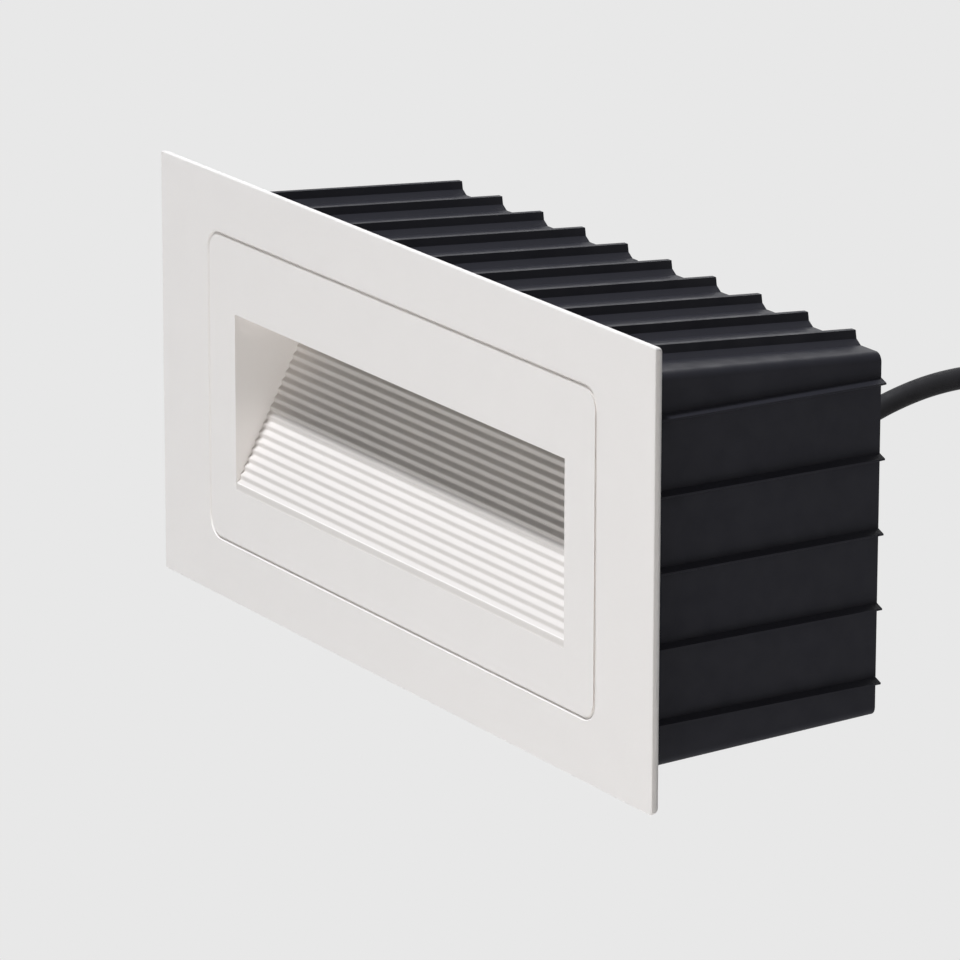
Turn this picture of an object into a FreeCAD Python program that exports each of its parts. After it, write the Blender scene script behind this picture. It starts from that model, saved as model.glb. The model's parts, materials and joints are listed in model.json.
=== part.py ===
import FreeCAD, Part
import math
import os
import Sketcher

# Recessed LED step light: a die-cast faceplate with a ribbed glare recess, the sealed lamp body
# behind it, and the ribbed wall box that is built into the masonry.
# Millimetres. X runs along the plate, Y goes back into the wall, Z is up.
# The origin lies in the finished wall surface, at the centre of the faceplate's back.

V = FreeCAD.Vector
doc = FreeCAD.newDocument("step_light")

# ---------------------------------------------------------------- driving sizes
# name, value, what it is
SIZE_ROWS = [
    ("plate_side", 13.5, "wall box to the faceplate's side edges"),
    ("plate_end", 7.75, "wall box to the faceplate's top and bottom edges, on average"),
    ("plate_width", "=box_width + 2 * plate_side", "faceplate, side to side"),
    ("plate_height", "=box_height + 2 * plate_end", "faceplate, top to bottom"),
    ("plate_thick", 2.6, "faceplate, front to back"),
    ("plate_corner", 0.8, "radius of the faceplate's four corners"),
    ("plate_bevel", 0.2, "bevel round the faceplate's front"),
    ("drip_radius", 1.8, "rounding of the lower rear edge"),
    ("groove_side", 24.4, "side edge of the plate to the trim groove"),
    ("groove_end", 14.8, "top or bottom edge of the plate to the trim groove"),
    ("groove_radius", 5.5, "corner radius of the trim groove"),
    ("groove_width", 1.0, "trim groove at the surface"),
    ("groove_depth", 0.45, "trim groove, depth"),
    ("groove_taper", 40.0, "slant of the groove's two sides"),
    ("open_width", 158.0, "light opening, side to side"),
    ("open_height", 45.6, "light opening, top to bottom"),
    ("open_drop", 2.4, "light opening's centre below the plate's"),
    ("slope_angle", 61.4, "ribbed reflector above the horizontal"),
    ("recess_wall", 2.4, "walls round the recess"),
    ("rib_pitch", 2.27, "reflector ribs, one to the next"),
    ("rib_height", 0.8, "the same, height of the crest"),
    ("rib_lip", 0.55, "the same, width of the steep flank below the crest"),
    ("rib_gap", 0.15, "the same, flat between two of them"),
    ("rib_count", 22.0, "reflector ribs"),
    ("slot_end", 11.0, "side of the opening to the light slot's end"),
    ("slot_width", "=open_width - 2 * slot_end", "light slot in the recess ceiling, long side"),
    ("slot_depth", 11.0, "light slot, short side"),
    ("slot_back", 10.5, "wall surface to the light slot's centre"),
    ("body_side", 11.0, "side of the opening to the lamp body's outside"),
    ("body_above", 1.9, "room over the LED carrier inside the lamp body"),
    ("body_below", 12.3, "room under the opening inside the lamp body"),
    ("body_rise", "=recess_wall + glass_seal + glass_thick + tray_height + body_above",
     "opening to the top inside"),
    ("body_width", "=open_width + 2 * body_side", "lamp body, side to side"),
    ("body_height", "=open_height + body_rise + body_below + 2 * body_wall", "lamp body, top to bottom"),
    ("body_drop", "=open_drop - (body_rise - body_below) / 2", "lamp body's centre below the plate's"),
    ("body_corner", 5.0, "lamp body's corner radius"),
    ("body_wall", 2.2, "lamp body's walls"),
    ("body_depth", 31.0, "cast half of the lamp body behind the plate"),
    ("seal_thick", 1.0, "gasket between the two halves"),
    ("boss_radius", 3.2, "screw bosses in the body corners"),
    ("pilot_radius", 1.3, "tapped holes"),
    ("pilot_depth", 14.0, "depth of the tapped holes"),
    ("cover_depth", 18.0, "rear cover without its fins"),
    ("cover_back", 2.4, "back wall of the rear cover"),
    ("step_width", 52.0, "shallow end of the rear cover, which leaves room for the gland"),
    ("step_depth", 2.4, "rear cover's depth at its shallow end"),
    ("fin_height", 4.0, "cooling fins"),
    ("fin_thick", 1.8, "cooling fins"),
    ("fin_pitch", 11.5, "cooling fins, one to the next"),
    ("fin_count", 9.0, "cooling fins"),
    ("screw_head", 3.0, "radius of the cover screws' heads"),
    ("screw_head_height", 2.2, "cover screws' heads"),
    ("screw_shank", 1.25, "radius of the cover screws' shanks"),
    ("screw_length", 14.0, "cover screws under the head"),
    ("screw_play", 0.3, "room round a screw"),
    ("pad_thick", 1.5, "foam gasket behind the plate"),
    ("pad_wide", 6.0, "foam gasket's strip"),
    ("fit_gap", 0.3, "gap between the lamp's foam gasket and the wall box"),
    ("glass_lap", 3.5, "glass beyond the light slot's ends"),
    ("glass_edge", 3.0, "glass beyond the light slot's long sides"),
    ("glass_length", "=slot_width + 2 * glass_lap", "window glass"),
    ("glass_width", "=slot_depth + 2 * glass_edge", "window glass"),
    ("glass_thick", 3.0, "window glass"),
    ("glass_seal", 0.8, "silicone seal under the window glass"),
    ("tray_thick", 1.5, "folded aluminium LED carrier"),
    ("tray_height", 4.6, "LED carrier above the glass"),
    ("tray_screw_out", 4.0, "glass's end to the LED carrier's screws"),
    ("tray_screw_side", "=glass_length / 2 + tray_screw_out", "LED carrier's screws from the middle"),
    ("tray_screw_head", 2.6, "radius of the LED carrier's screw heads"),
    ("tray_screw_height", 1.5, "LED carrier's screw heads"),
    ("tray_screw_length", 6.0, "LED carrier's screws under the head"),
    ("board_thick", 1.6, "LED circuit board"),
    ("board_width", 9.0, "LED circuit board"),
    ("board_end", 2.0, "light slot's end to the LED circuit board's end"),
    ("board_length", "=slot_width - 2 * board_end", "LED circuit board"),
    ("led_size", 3.0, "one LED, square"),
    ("led_height", 0.8, "one LED"),
    ("led_count", 12.0, "LEDs on the board"),
    ("led_margin", 6.6, "end of the board to the middle of the last LED"),
    ("led_pitch", "=(board_length - 2 * led_margin) / (led_count - 1)", "LEDs, one to the next"),
    ("box_side", 14.0, "lamp body to the wall box's outside, at its mouth"),
    ("box_above", 9.9, "the same, above the lamp body"),
    ("box_below", 9.6, "the same, below the lamp body"),
    ("box_width", "=body_width + 2 * box_side", "wall box at its mouth, without ribs"),
    ("box_height", "=body_height + box_above + box_below", "wall box at its mouth, without ribs"),
    ("box_drop", "=body_drop - (box_above - box_below) / 2", "wall box's centre below the plate's"),
    ("box_depth", 67.6, "wall box, front to back"),
    ("box_wall", 2.2, "wall box's walls"),
    ("box_corner", 2.2, "rounding of the wall box's long edges"),
    ("bay_corner", 1.5, "rounding of the bays' long edges inside"),
    ("flange_lip", 3.4, "flange round the wall box's mouth"),
    ("flange_thick", 2.0, "flange round the wall box's mouth"),
    ("draft_top", 3.5, "draft of the wall box's top"),
    ("draft_bottom", 2.0, "draft of the wall box's underside"),
    ("draft_end", 2.0, "draft of the wall box's two ends"),
    ("waist_width", 7.0, "waist between the wall box's two bays, at the surface"),
    ("waist_floor", 4.0, "the same, at its floor"),
    ("waist_depth", 3.5, "depth of the waist"),
    ("waist_round", 2.5, "rounding of the waist's shoulders"),
    ("long_rib_edge", 14.0, "last of the ribs on top and underneath to the box's end"),
    ("long_rib_pitch", "=(box_width / 2 - long_rib_start - long_rib_edge) / (long_rib_count - 1)",
     "ribs, one to the next"),
    ("long_rib_start", 10.0, "middle of the box to the first of these ribs"),
    ("long_rib_height", 3.2, "ribs on top and underneath"),
    ("long_rib_bend", 1.2, "the same, height where the flanks steepen"),
    ("long_rib_base", 6.0, "the same, width at the foot"),
    ("long_rib_neck", 2.4, "the same, width where the flanks steepen"),
    ("long_rib_crest", 1.6, "the same, width at the crest"),
    ("long_rib_count", 5.0, "ribs in one bay"),
    ("end_rib_edge", 10.95, "first and last rib on the ends to the box's long edges"),
    ("end_rib_pitch", "=(box_height - 2 * end_rib_edge) / (end_rib_count - 1)",
     "ribs on the two ends, one to the next"),
    ("end_rib_height", 2.2, "ribs on the two ends"),
    ("end_rib_base", 2.0, "the same, width at the foot"),
    ("end_rib_tip", 0.4, "the same, width at the crest"),
    ("end_rib_count", 5.0, "ribs on one end"),
    ("entry_side", 50.0, "cable entry to the right of the middle"),
    ("entry_up", 8.7, "cable entry above the middle"),
    ("entry_radius", 5.2, "hole for the cable entry"),
    ("fixing_side", 62.0, "fixing holes from the middle"),
    ("fixing_down", 20.0, "fixing holes below the middle"),
    ("fixing_radius", 2.25, "fixing holes in the back of the wall box"),
    ("cable_radius", 2.7, "supply cable"),
    ("cable_play", 0.1, "room round the supply cable in its seals"),
    ("boot_length", 20.0, "tapered boot outside the wall box"),
    ("boot_tip", 3.7, "radius of the boot's thin end"),
    ("boot_flange", 7.0, "radius of the entry's flanges"),
    ("boot_lip", 1.6, "thickness of the entry's flanges"),
    ("cable_grip", 1.0, "cable beyond the boot before it bends"),
    ("gland_grip", 5.0, "cable beyond the gland before it bends"),
    ("lead_reach", 21.6, "that end to the slack loop's outer bend"),
    ("lead_turn", 11.5, "slack loop's last bend, into the cable entry"),
    ("gland_down", 28.0, "gland below the middle"),
    ("gland_in", 8.8, "gland's axis in front of the cover's back"),
    ("gland_thread", 4.8, "radius of the gland's thread"),
    ("gland_hex", 7.2, "corner radius of the gland's hexagons"),
    ("gland_collar", 4.0, "gland's fixed hexagon"),
    ("gland_outer", 8.0, "gland's thread outside the collar"),
    ("gland_cap", 13.0, "gland's cap nut"),
    ("lock_nut", 3.2, "gland's lock nut"),
    ("clip_out", 4.4, "clip pin outside the lamp body's end"),
    ("clip_back", 27.0, "clip pin behind the wall surface"),
    ("clip_pin_radius", 1.25, "clip pin"),
    ("clip_tall", 18.6, "clip bracket, top to bottom"),
    ("clip_sheet", 1.0, "clip bracket's sheet"),
    ("clip_play", 0.3, "running gaps in the clip"),
    ("arm_sheet", 0.8, "clip arm's spring steel"),
    ("arm_reach", 18.5, "clip arm, pin to its bend"),
    ("arm_spread", 5.6, "clip arm's bend outside its pin"),
    ("arm_knuckle", 2.3, "radius of the clip arm's knuckles"),
    ("spring_wire", 0.8, "torsion spring's wire"),
    ("spring_outer", 2.9, "torsion spring, outer radius"),
    ("spring_tall", 5.8, "torsion spring, end to end"),
    ("spring_leg", 6.0, "torsion spring's legs"),
    ("driver_length", 62.0, "LED driver"),
    ("driver_width", 30.0, "LED driver"),
    ("driver_thick", 13.0, "LED driver"),
    ("driver_side", 41.0, "LED driver's centre left of the middle"),
    ("terminal_pitch", 8.0, "terminal block, one pole to the next"),
    ("terminal_width", 16.0, "terminal block, top to bottom"),
    ("terminal_thick", 11.0, "terminal block, front to back"),
    ("terminal_side", 8.0, "terminal block's centre right of the middle"),
    ("core_radius", 0.85, "one insulated core of the supply cable"),
    ("lead_radius", 0.6, "one LED lead"),
    ("coil_radius", 28.6, "stored cable's coil, middle of the cable"),
    ("coil_turns", 2.25, "stored cable's turns"),
    ("coil_pitch", 6.1, "stored cable, one turn to the next"),
    ("tail_length", 24.0, "sheathed end that hangs from the coil"),
    ("strip_length", 26.0, "insulated cores outside the sheath"),
    ("bare_length", 6.0, "bare copper at the cores' ends"),
    ("tie_width", 3.5, "cable tie"),
    ("tie_thick", 1.2, "cable tie"),
]

sheet = doc.addObject("Spreadsheet::Sheet", "sizes")
for row, (alias, value, note) in enumerate(SIZE_ROWS, 1):
    sheet.set("A%d" % row, note)
    sheet.set("B%d" % row, str(value))
    sheet.setAlias("B%d" % row, alias)
doc.recompute()


CABLE_SIDES, WIRE_SIDES = 12, 8  # flats round the supply cable and round the thin wires
# Points of the free cable, from where the boot lets go of it.
CABLE_STEPS = [(0, 7.2, 0), (0.2, 17.1, 2.9), (0.8, 29.6, 5.4), (1.8, 43.6, 6.5), (3.2, 58.6, 6.5),
               (4.4, 72.6, 6.5)]


class Size:
    """A size that carries both its number and the sheet expression that it comes from."""

    def __init__(self, value, text):
        self.value = value
        self.text = text

    def joined(self, other, sign, number):
        return Size(number, "(%s %s %s)" % (self.text, sign, size(other).text))

    def __add__(self, other):
        return self.joined(other, "+", self.value + size(other).value)

    def __sub__(self, other):
        return self.joined(other, "-", self.value - size(other).value)

    def __mul__(self, other):
        return self.joined(other, "*", self.value * size(other).value)

    def __truediv__(self, other):
        return self.joined(other, "/", self.value / size(other).value)

    def __neg__(self):
        return size(0) - self


def size(number):
    return number if isinstance(number, Size) else Size(float(number), repr(float(number)))


def tan(angle):
    return Size(math.tan(math.radians(angle.value)), "tan(%s)" % angle.text)


def sin(angle):
    return Size(math.sin(math.radians(angle.value)), "sin(%s)" % angle.text)


def cos(angle):
    return Size(math.cos(math.radians(angle.value)), "cos(%s)" % angle.text)


class Sheet:
    """S.plate_width is the sheet's plate_width as a Size."""

    def __getattr__(self, alias):
        return Size(float(sheet.get(alias)), "sizes." + alias)


S = Sheet()
ZERO = size(0)


def bind(target, name, value):
    target.setExpression(name, size(value).text)


# ---------------------------------------------------------------- sketches and features
def new_body(label):
    body = doc.addObject("PartDesign::Body", label)
    body.Label = label
    return body


def new_sketch(body, name, plane, across=ZERO, up=ZERO, out=ZERO, turn=None):
    """A sketch on one of the body's origin planes. On XZ it looks along +Y, and out goes to -Y."""
    sketch = body.newObject("Sketcher::SketchObject", name)
    base = [item for item in body.Origin.OriginFeatures if item.Role == plane + "_Plane"][0]
    sketch.AttachmentSupport = [(base, "")]
    sketch.MapMode = "FlatFace"
    for axis, shift in (("x", across), ("y", up), ("z", out)):
        bind(sketch, "AttachmentOffset.Base." + axis, shift)
    if turn is not None:
        bind(sketch, "AttachmentOffset.Rotation.Angle", turn)
    return sketch


def pin_point(sketch, element, end, x, y):
    """Fixes one end of a line, or a circle's centre, at x, y of the sketch."""
    for kind, coordinate in (("DistanceX", x), ("DistanceY", y)):
        place = size(coordinate)
        number = sketch.addConstraint(Sketcher.Constraint(kind, element, end, place.value))
        name = "%s_%d_%d" % (kind, element, end)
        sketch.renameConstraint(number, name)
        bind(sketch, "Constraints." + name, place)


def polygon(sketch, points):
    corners = [(size(x), size(y)) for x, y in points]
    lines = []
    for (x0, y0), (x1, y1) in zip(corners, corners[1:] + corners[:1]):
        line = Part.LineSegment(V(x0.value, y0.value, 0), V(x1.value, y1.value, 0))
        lines.append(sketch.addGeometry(line))
    for line, after in zip(lines, lines[1:] + lines[:1]):
        sketch.addConstraint(Sketcher.Constraint("Coincident", line, 2, after, 1))
    for line, (x, y) in zip(lines, corners):
        pin_point(sketch, line, 1, x, y)


def rectangle(sketch, width, height, x=ZERO, y=ZERO):
    right, top = size(width) / 2, size(height) / 2
    polygon(sketch, [(x - right, y - top), (x + right, y - top), (x + right, y + top), (x - right, y + top)])


def rounded_rectangle(sketch, width, height, radius, x=ZERO, y=ZERO):
    """A rectangle about x, y with four tangent corner arcs."""
    w, h, r = size(width) / 2, size(height) / 2, size(radius)
    arcs = []
    for side_x, side_y, start in ((1, -1, 270), (1, 1, 0), (-1, 1, 90), (-1, -1, 180)):
        centre_x, centre_y = x + (w - r) * side_x, y + (h - r) * side_y
        circle = Part.Circle(V(centre_x.value, centre_y.value, 0), V(0, 0, 1), r.value)
        arc = Part.ArcOfCircle(circle, math.radians(start), math.radians(start + 90))
        arcs.append((sketch.addGeometry(arc), centre_x, centre_y))
    lines = []
    for (here, _, _), (after, _, _) in zip(arcs, arcs[1:] + arcs[:1]):
        ends = [sketch.getPoint(here, 2), sketch.getPoint(after, 1)]
        lines.append(sketch.addGeometry(Part.LineSegment(*ends)))
    for number, (arc, centre_x, centre_y) in enumerate(arcs):
        after = arcs[(number + 1) % 4][0]
        sketch.addConstraint(Sketcher.Constraint("Tangent", arc, 2, lines[number], 1))
        sketch.addConstraint(Sketcher.Constraint("Tangent", lines[number], 2, after, 1))
        pin_point(sketch, arc, 3, centre_x, centre_y)
    for kind, line in (("Vertical", 0), ("Horizontal", 1), ("Vertical", 2)):
        sketch.addConstraint(Sketcher.Constraint(kind, lines[line]))
    named = sketch.addConstraint(Sketcher.Constraint("Radius", arcs[0][0], r.value))
    name = "radius_%d" % arcs[0][0]
    sketch.renameConstraint(named, name)
    bind(sketch, "Constraints." + name, r)


def circle(sketch, x, y, radius):
    x, y, radius = size(x), size(y), size(radius)
    element = sketch.addGeometry(Part.Circle(V(x.value, y.value, 0), V(0, 0, 1), radius.value))
    pin_point(sketch, element, 3, x, y)
    number = sketch.addConstraint(Sketcher.Constraint("Radius", element, radius.value))
    name = "radius_%d" % element
    sketch.renameConstraint(number, name)
    bind(sketch, "Constraints." + name, radius)


def extrude(body, kind, sketch, length, reverse=False, symmetric=False):
    """A Pad or a Pocket. The volume has to change the way that its kind says."""
    before = body.Shape.Volume if body.Tip else 0.0
    feature = body.newObject("PartDesign::" + kind, kind + "_" + sketch.Name)
    feature.Profile = sketch
    feature.Reversed = reverse
    feature.SideType = "Symmetric" if symmetric else "One side"
    bind(feature, "Length", length)
    sketch.Visibility = False
    doc.recompute()
    change = body.Shape.Volume - before
    if (change <= 0) if kind == "Pad" else (change >= 0):
        raise ValueError("%s of %s changed nothing" % (kind, sketch.Name))
    return feature


def leaning_pad(body, sketch, length, axis, slope):
    """A pad towards +Y that moves against x or z by slope for each millimetre of depth."""
    feature = body.newObject("PartDesign::Pad", "Pad_" + sketch.Name)
    feature.Profile = sketch
    feature.Reversed = True
    feature.UseCustomVector = True
    feature.AlongSketchNormal = True
    feature.Direction = V(0, -1, 0)
    bind(feature, "Direction." + axis, slope)
    bind(feature, "Length", length)
    sketch.Visibility = False
    doc.recompute()
    return feature


def loft(body, kind, front, rear):
    before = body.Shape.Volume if body.Tip else 0.0
    feature = body.newObject("PartDesign::" + kind, kind + "_" + front.Name)
    feature.Profile = front
    feature.Sections = [(rear, [""])]
    feature.Ruled = True
    doc.recompute()
    change = body.Shape.Volume - before
    if (change <= 0) if kind == "AdditiveLoft" else (change >= 0):
        raise ValueError("%s of %s changed nothing" % (kind, front.Name))
    return feature


def pattern(body, feature, axis, pitch, count):
    """Repeats a feature along an origin axis, or along a sketch's own H_Axis."""
    repeat = body.newObject("PartDesign::LinearPattern", "Pattern_" + feature.Name)
    repeat.Originals = [feature]
    repeat.Direction = axis
    repeat.Mode = "Extent"
    bind(repeat, "Length", pitch * (count - 1))
    bind(repeat, "Occurrences", count)
    body.Tip = repeat
    doc.recompute()
    return repeat


def origin_axis(body, role):
    return ([item for item in body.Origin.OriginFeatures if item.Role == role][0], [""])


def edges_where(shape, test):
    return ["Edge%d" % (number + 1) for number, edge in enumerate(shape.Edges) if test(edge)]


def dress(body, kind, value, test):
    """A Fillet or Chamfer on the edges of the body that the test picks."""
    base = body.Tip
    names = edges_where(base.Shape, test)
    feature = body.newObject("PartDesign::" + kind, kind + "_" + base.Name)
    feature.Base = (base, names)
    bind(feature, "Radius" if kind == "Fillet" else "Size", value)
    doc.recompute()
    return feature


def near(a, b, slack=0.02):
    return abs(a - b) < slack


def slab(label, plane, width, height, radius, thick, across, up, out, hole=None, reverse=False):
    """A flat piece with rounded corners, and a hole of the given width, height and radius."""
    body = new_body(label)
    sketch = new_sketch(body, label + "_outline", plane, across, up, out)
    rounded_rectangle(sketch, width, height, radius)
    if hole:
        rounded_rectangle(sketch, *hole)
    extrude(body, "Pad", sketch, thick, reverse=reverse)
    return body


def add_group(label, solids):
    """Equal pieces in one node, each a separate solid."""
    group = doc.addObject("Part::Feature", label)
    group.Shape = Part.makeCompound(solids)
    group.Label = label
    return group


NODES = []


def keep(*items):
    NODES.extend(items)


# ---------------------------------------------------------------- places that pieces share
open_bottom = -S.open_drop - S.open_height / 2
open_top = -S.open_drop + S.open_height / 2
front_face = -S.plate_thick
ceiling_top = open_top + S.recess_wall
body_z = -S.body_drop
cover_front = S.body_depth + S.seal_thick
cover_rear = cover_front + S.cover_depth
step_rear = cover_front + S.step_depth
step_x = S.body_width / 2 - S.step_width
boss_x = S.body_width / 2 - S.body_wall - S.boss_radius
boss_up = body_z + S.body_height / 2 - S.body_wall - S.boss_radius
boss_low = body_z - S.body_height / 2 + S.body_wall + S.boss_radius
BOSSES = [(boss_x * side, z) for side in (1, -1) for z in (boss_up, boss_low)]
rivet_y = S.clip_back - 7.0
rivet_z = [body_z + S.clip_tall * share for share in (0.31, -0.31)]
rivet_radius = size(1.1)
glass_bottom = ceiling_top + S.glass_seal
glass_top = glass_bottom + S.glass_thick
tray_top = glass_top + S.tray_height
box_front = S.pad_thick + S.fit_gap
box_rear = box_front + S.box_depth
box_z = -S.box_drop
gland_y = cover_rear - S.gland_in
gland_z = -S.gland_down
pin_x = S.body_width / 2 + S.clip_out


# ---------------------------------------------------------------- faceplate casting
def slope_point(along, outward=ZERO):
    """A point on the reflector: along it from its lower front edge, and outward into its wall."""
    y = front_face + cos(S.slope_angle) * along + sin(S.slope_angle) * outward
    z = open_bottom + sin(S.slope_angle) * along - cos(S.slope_angle) * outward
    return y, z


def slope_y(z, outward=ZERO):
    """How far back the reflector, or its outer wall, lies at height z."""
    start_y, start_z = slope_point(ZERO, outward)
    return start_y + (z - start_z) / tan(S.slope_angle)


def build_faceplate():
    body = new_body("faceplate")
    plate = new_sketch(body, "plate_outline", "XZ")
    rounded_rectangle(plate, S.plate_width, S.plate_height, S.plate_corner)
    extrude(body, "Pad", plate, S.plate_thick)

    sleeve = new_sketch(body, "sleeve_outline", "XZ", up=body_z)
    wall = S.body_wall
    rounded_rectangle(sleeve, S.body_width, S.body_height, S.body_corner)
    rounded_rectangle(sleeve, S.body_width - wall * 2, S.body_height - wall * 2, S.body_corner - wall)
    extrude(body, "Pad", sleeve, S.body_depth, reverse=True)

    block_low = slope_point(ZERO, S.recess_wall)[1] - S.recess_wall / 2
    block = new_sketch(body, "recess_block", "YZ")
    polygon(block, [
        (slope_y(block_low, S.recess_wall), block_low),
        (slope_y(ceiling_top, S.recess_wall), ceiling_top),
        (slope_y(block_low, S.recess_wall), ceiling_top),
    ])
    extrude(body, "Pad", block, S.open_width + S.recess_wall * 2, symmetric=True)

    bosses = new_sketch(body, "corner_bosses", "XZ")
    for x, z in BOSSES:
        circle(bosses, x, z, S.boss_radius + wall / 2)
    extrude(body, "Pad", bosses, S.body_depth, reverse=True)

    posts = new_sketch(body, "tray_posts", "XY", out=ceiling_top)
    for side in (1, -1):
        circle(posts, S.tray_screw_side * side, S.slot_back, S.boss_radius - 0.4)
    extrude(body, "Pad", posts, tray_top - S.tray_thick - ceiling_top)

    recess = new_sketch(body, "recess_profile", "YZ")
    polygon(recess, [
        slope_point(ZERO),
        (slope_y(open_top), open_top),
        (front_face, open_top),
    ])
    extrude(body, "Pocket", recess, S.open_width, symmetric=True)

    rib = new_sketch(body, "reflector_rib", "YZ", front_face, open_bottom, turn=S.slope_angle)
    foot, back = (S.rib_pitch + S.rib_gap) / 2, S.rib_pitch * 1.5 - S.rib_gap / 2
    polygon(rib, [(foot, -S.rib_height), (back, -S.rib_height), (back, ZERO),
                  (foot + S.rib_lip, S.rib_height), (foot, ZERO)])
    bar = extrude(body, "Pad", rib, S.open_width, symmetric=True)
    pattern(body, bar, (rib, ["H_Axis"]), S.rib_pitch, S.rib_count)

    slot = new_sketch(body, "light_slot", "XY", up=S.slot_back, out=ceiling_top)
    rounded_rectangle(slot, S.slot_width, S.slot_depth, S.slot_depth / 4)
    extrude(body, "Pocket", slot, S.recess_wall)

    threads = new_sketch(body, "cover_screw_holes", "XZ", out=-S.body_depth)
    for x, z in BOSSES:
        circle(threads, x, z, S.pilot_radius)
    extrude(body, "Pocket", threads, S.pilot_depth, reverse=True)

    taps = new_sketch(body, "tray_screw_holes", "XY", out=tray_top - S.tray_thick)
    for side in (1, -1):
        circle(taps, S.tray_screw_side * side, S.slot_back, S.pilot_radius)
    extrude(body, "Pocket", taps, S.tray_screw_length - S.tray_thick + S.screw_play)

    rivets = new_sketch(body, "clip_rivet_holes", "YZ")
    for z in rivet_z:
        circle(rivets, rivet_y, z, rivet_radius)
    extrude(body, "Pocket", rivets, S.body_width + 1.0, symmetric=True)

    trim = new_sketch(body, "trim_groove", "XZ", out=S.plate_thick)
    width, height = S.plate_width - S.groove_side * 2, S.plate_height - S.groove_end * 2
    rounded_rectangle(trim, width, height, S.groove_radius)
    inner = S.groove_width * 2
    rounded_rectangle(trim, width - inner, height - inner, S.groove_radius - S.groove_width)
    groove = extrude(body, "Pocket", trim, S.groove_depth)
    bind(groove, "TaperAngle", -S.groove_taper)
    doc.recompute()

    half_w, half_h = S.plate_width.value / 2, S.plate_height.value / 2
    corner = S.plate_corner.value

    def front_rim(edge):
        box = edge.BoundBox
        flat = near(box.YMin, front_face.value) and near(box.YMax, front_face.value)
        outer = abs(edge.CenterOfMass.x) > half_w - corner or abs(edge.CenterOfMass.z) > half_h - corner
        return flat and outer

    dress(body, "Chamfer", S.plate_bevel, front_rim)

    def lower_rear(edge):
        box = edge.BoundBox
        low = near(box.ZMin, -half_h) and near(box.ZMax, -half_h)
        return low and near(box.YMin, 0) and near(box.YMax, 0)

    dress(body, "Fillet", S.drip_radius, lower_rear)
    return body


# ---------------------------------------------------------------- rear cover
def build_rear_cover():
    body = new_body("rear_cover")
    shell = new_sketch(body, "cover_outline", "XZ", up=body_z, out=-cover_front)
    rounded_rectangle(shell, S.body_width, S.body_height, S.body_corner)
    extrude(body, "Pad", shell, S.cover_depth, reverse=True)

    step = new_sketch(body, "gland_step", "XZ", up=body_z, out=-cover_rear)
    beyond = S.body_width / 2 + 1.0
    middle, span = (step_x + beyond) / 2, beyond - step_x
    rectangle(step, span, S.body_height + 2.0, middle)
    extrude(body, "Pocket", step, S.cover_depth - S.step_depth, reverse=True)

    chamber = new_sketch(body, "driver_chamber", "XZ", up=body_z, out=-cover_front)
    left = -S.body_width / 2 + S.body_wall
    right = step_x - S.body_wall
    inner_height = S.body_height - S.body_wall * 2
    rounded_rectangle(chamber, right - left, inner_height, S.body_corner - S.body_wall, (left + right) / 2)
    extrude(body, "Pocket", chamber, S.cover_depth - S.cover_back)

    bosses = new_sketch(body, "cover_bosses", "XZ", out=-cover_front)
    for z in (boss_up, boss_low):
        circle(bosses, -boss_x, z, S.boss_radius + S.body_wall - 0.05)
    extrude(body, "Pad", bosses, S.cover_depth, reverse=True)

    wells = new_sketch(body, "screw_wells", "XZ", out=-cover_rear)
    bores = new_sketch(body, "screw_bores", "XZ", out=-cover_front)
    for x, z in BOSSES:
        circle(wells, x, z, S.screw_head + S.screw_play)
        circle(bores, x, z, S.screw_shank + S.screw_play)
    extrude(body, "Pocket", wells, S.cover_depth - S.step_depth, reverse=True)
    extrude(body, "Pocket", bores, S.step_depth)

    hole = new_sketch(body, "gland_hole", "YZ", out=step_x)
    circle(hole, gland_y, gland_z, S.gland_thread + S.screw_play)
    extrude(body, "Pocket", hole, S.body_wall + 0.5)

    fin = new_sketch(body, "cooling_fin", "XZ", up=body_z, out=-cover_rear)
    first = -S.body_width / 2 + S.body_wall + S.boss_radius * 4 + S.fin_thick
    rectangle(fin, S.fin_thick, S.body_height - S.body_corner * 2, first)
    blade = extrude(body, "Pad", fin, S.fin_height, reverse=True)
    pattern(body, blade, origin_axis(body, "X_Axis"), S.fin_pitch, S.fin_count)
    return body


# ---------------------------------------------------------------- wall box
def box_half_width(y):
    return S.box_width / 2 - tan(S.draft_end) * (y - box_front)


def box_top(y):
    return box_z + S.box_height / 2 - tan(S.draft_top) * (y - box_front)


def box_bottom(y):
    return box_z - S.box_height / 2 + tan(S.draft_bottom) * (y - box_front)


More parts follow.
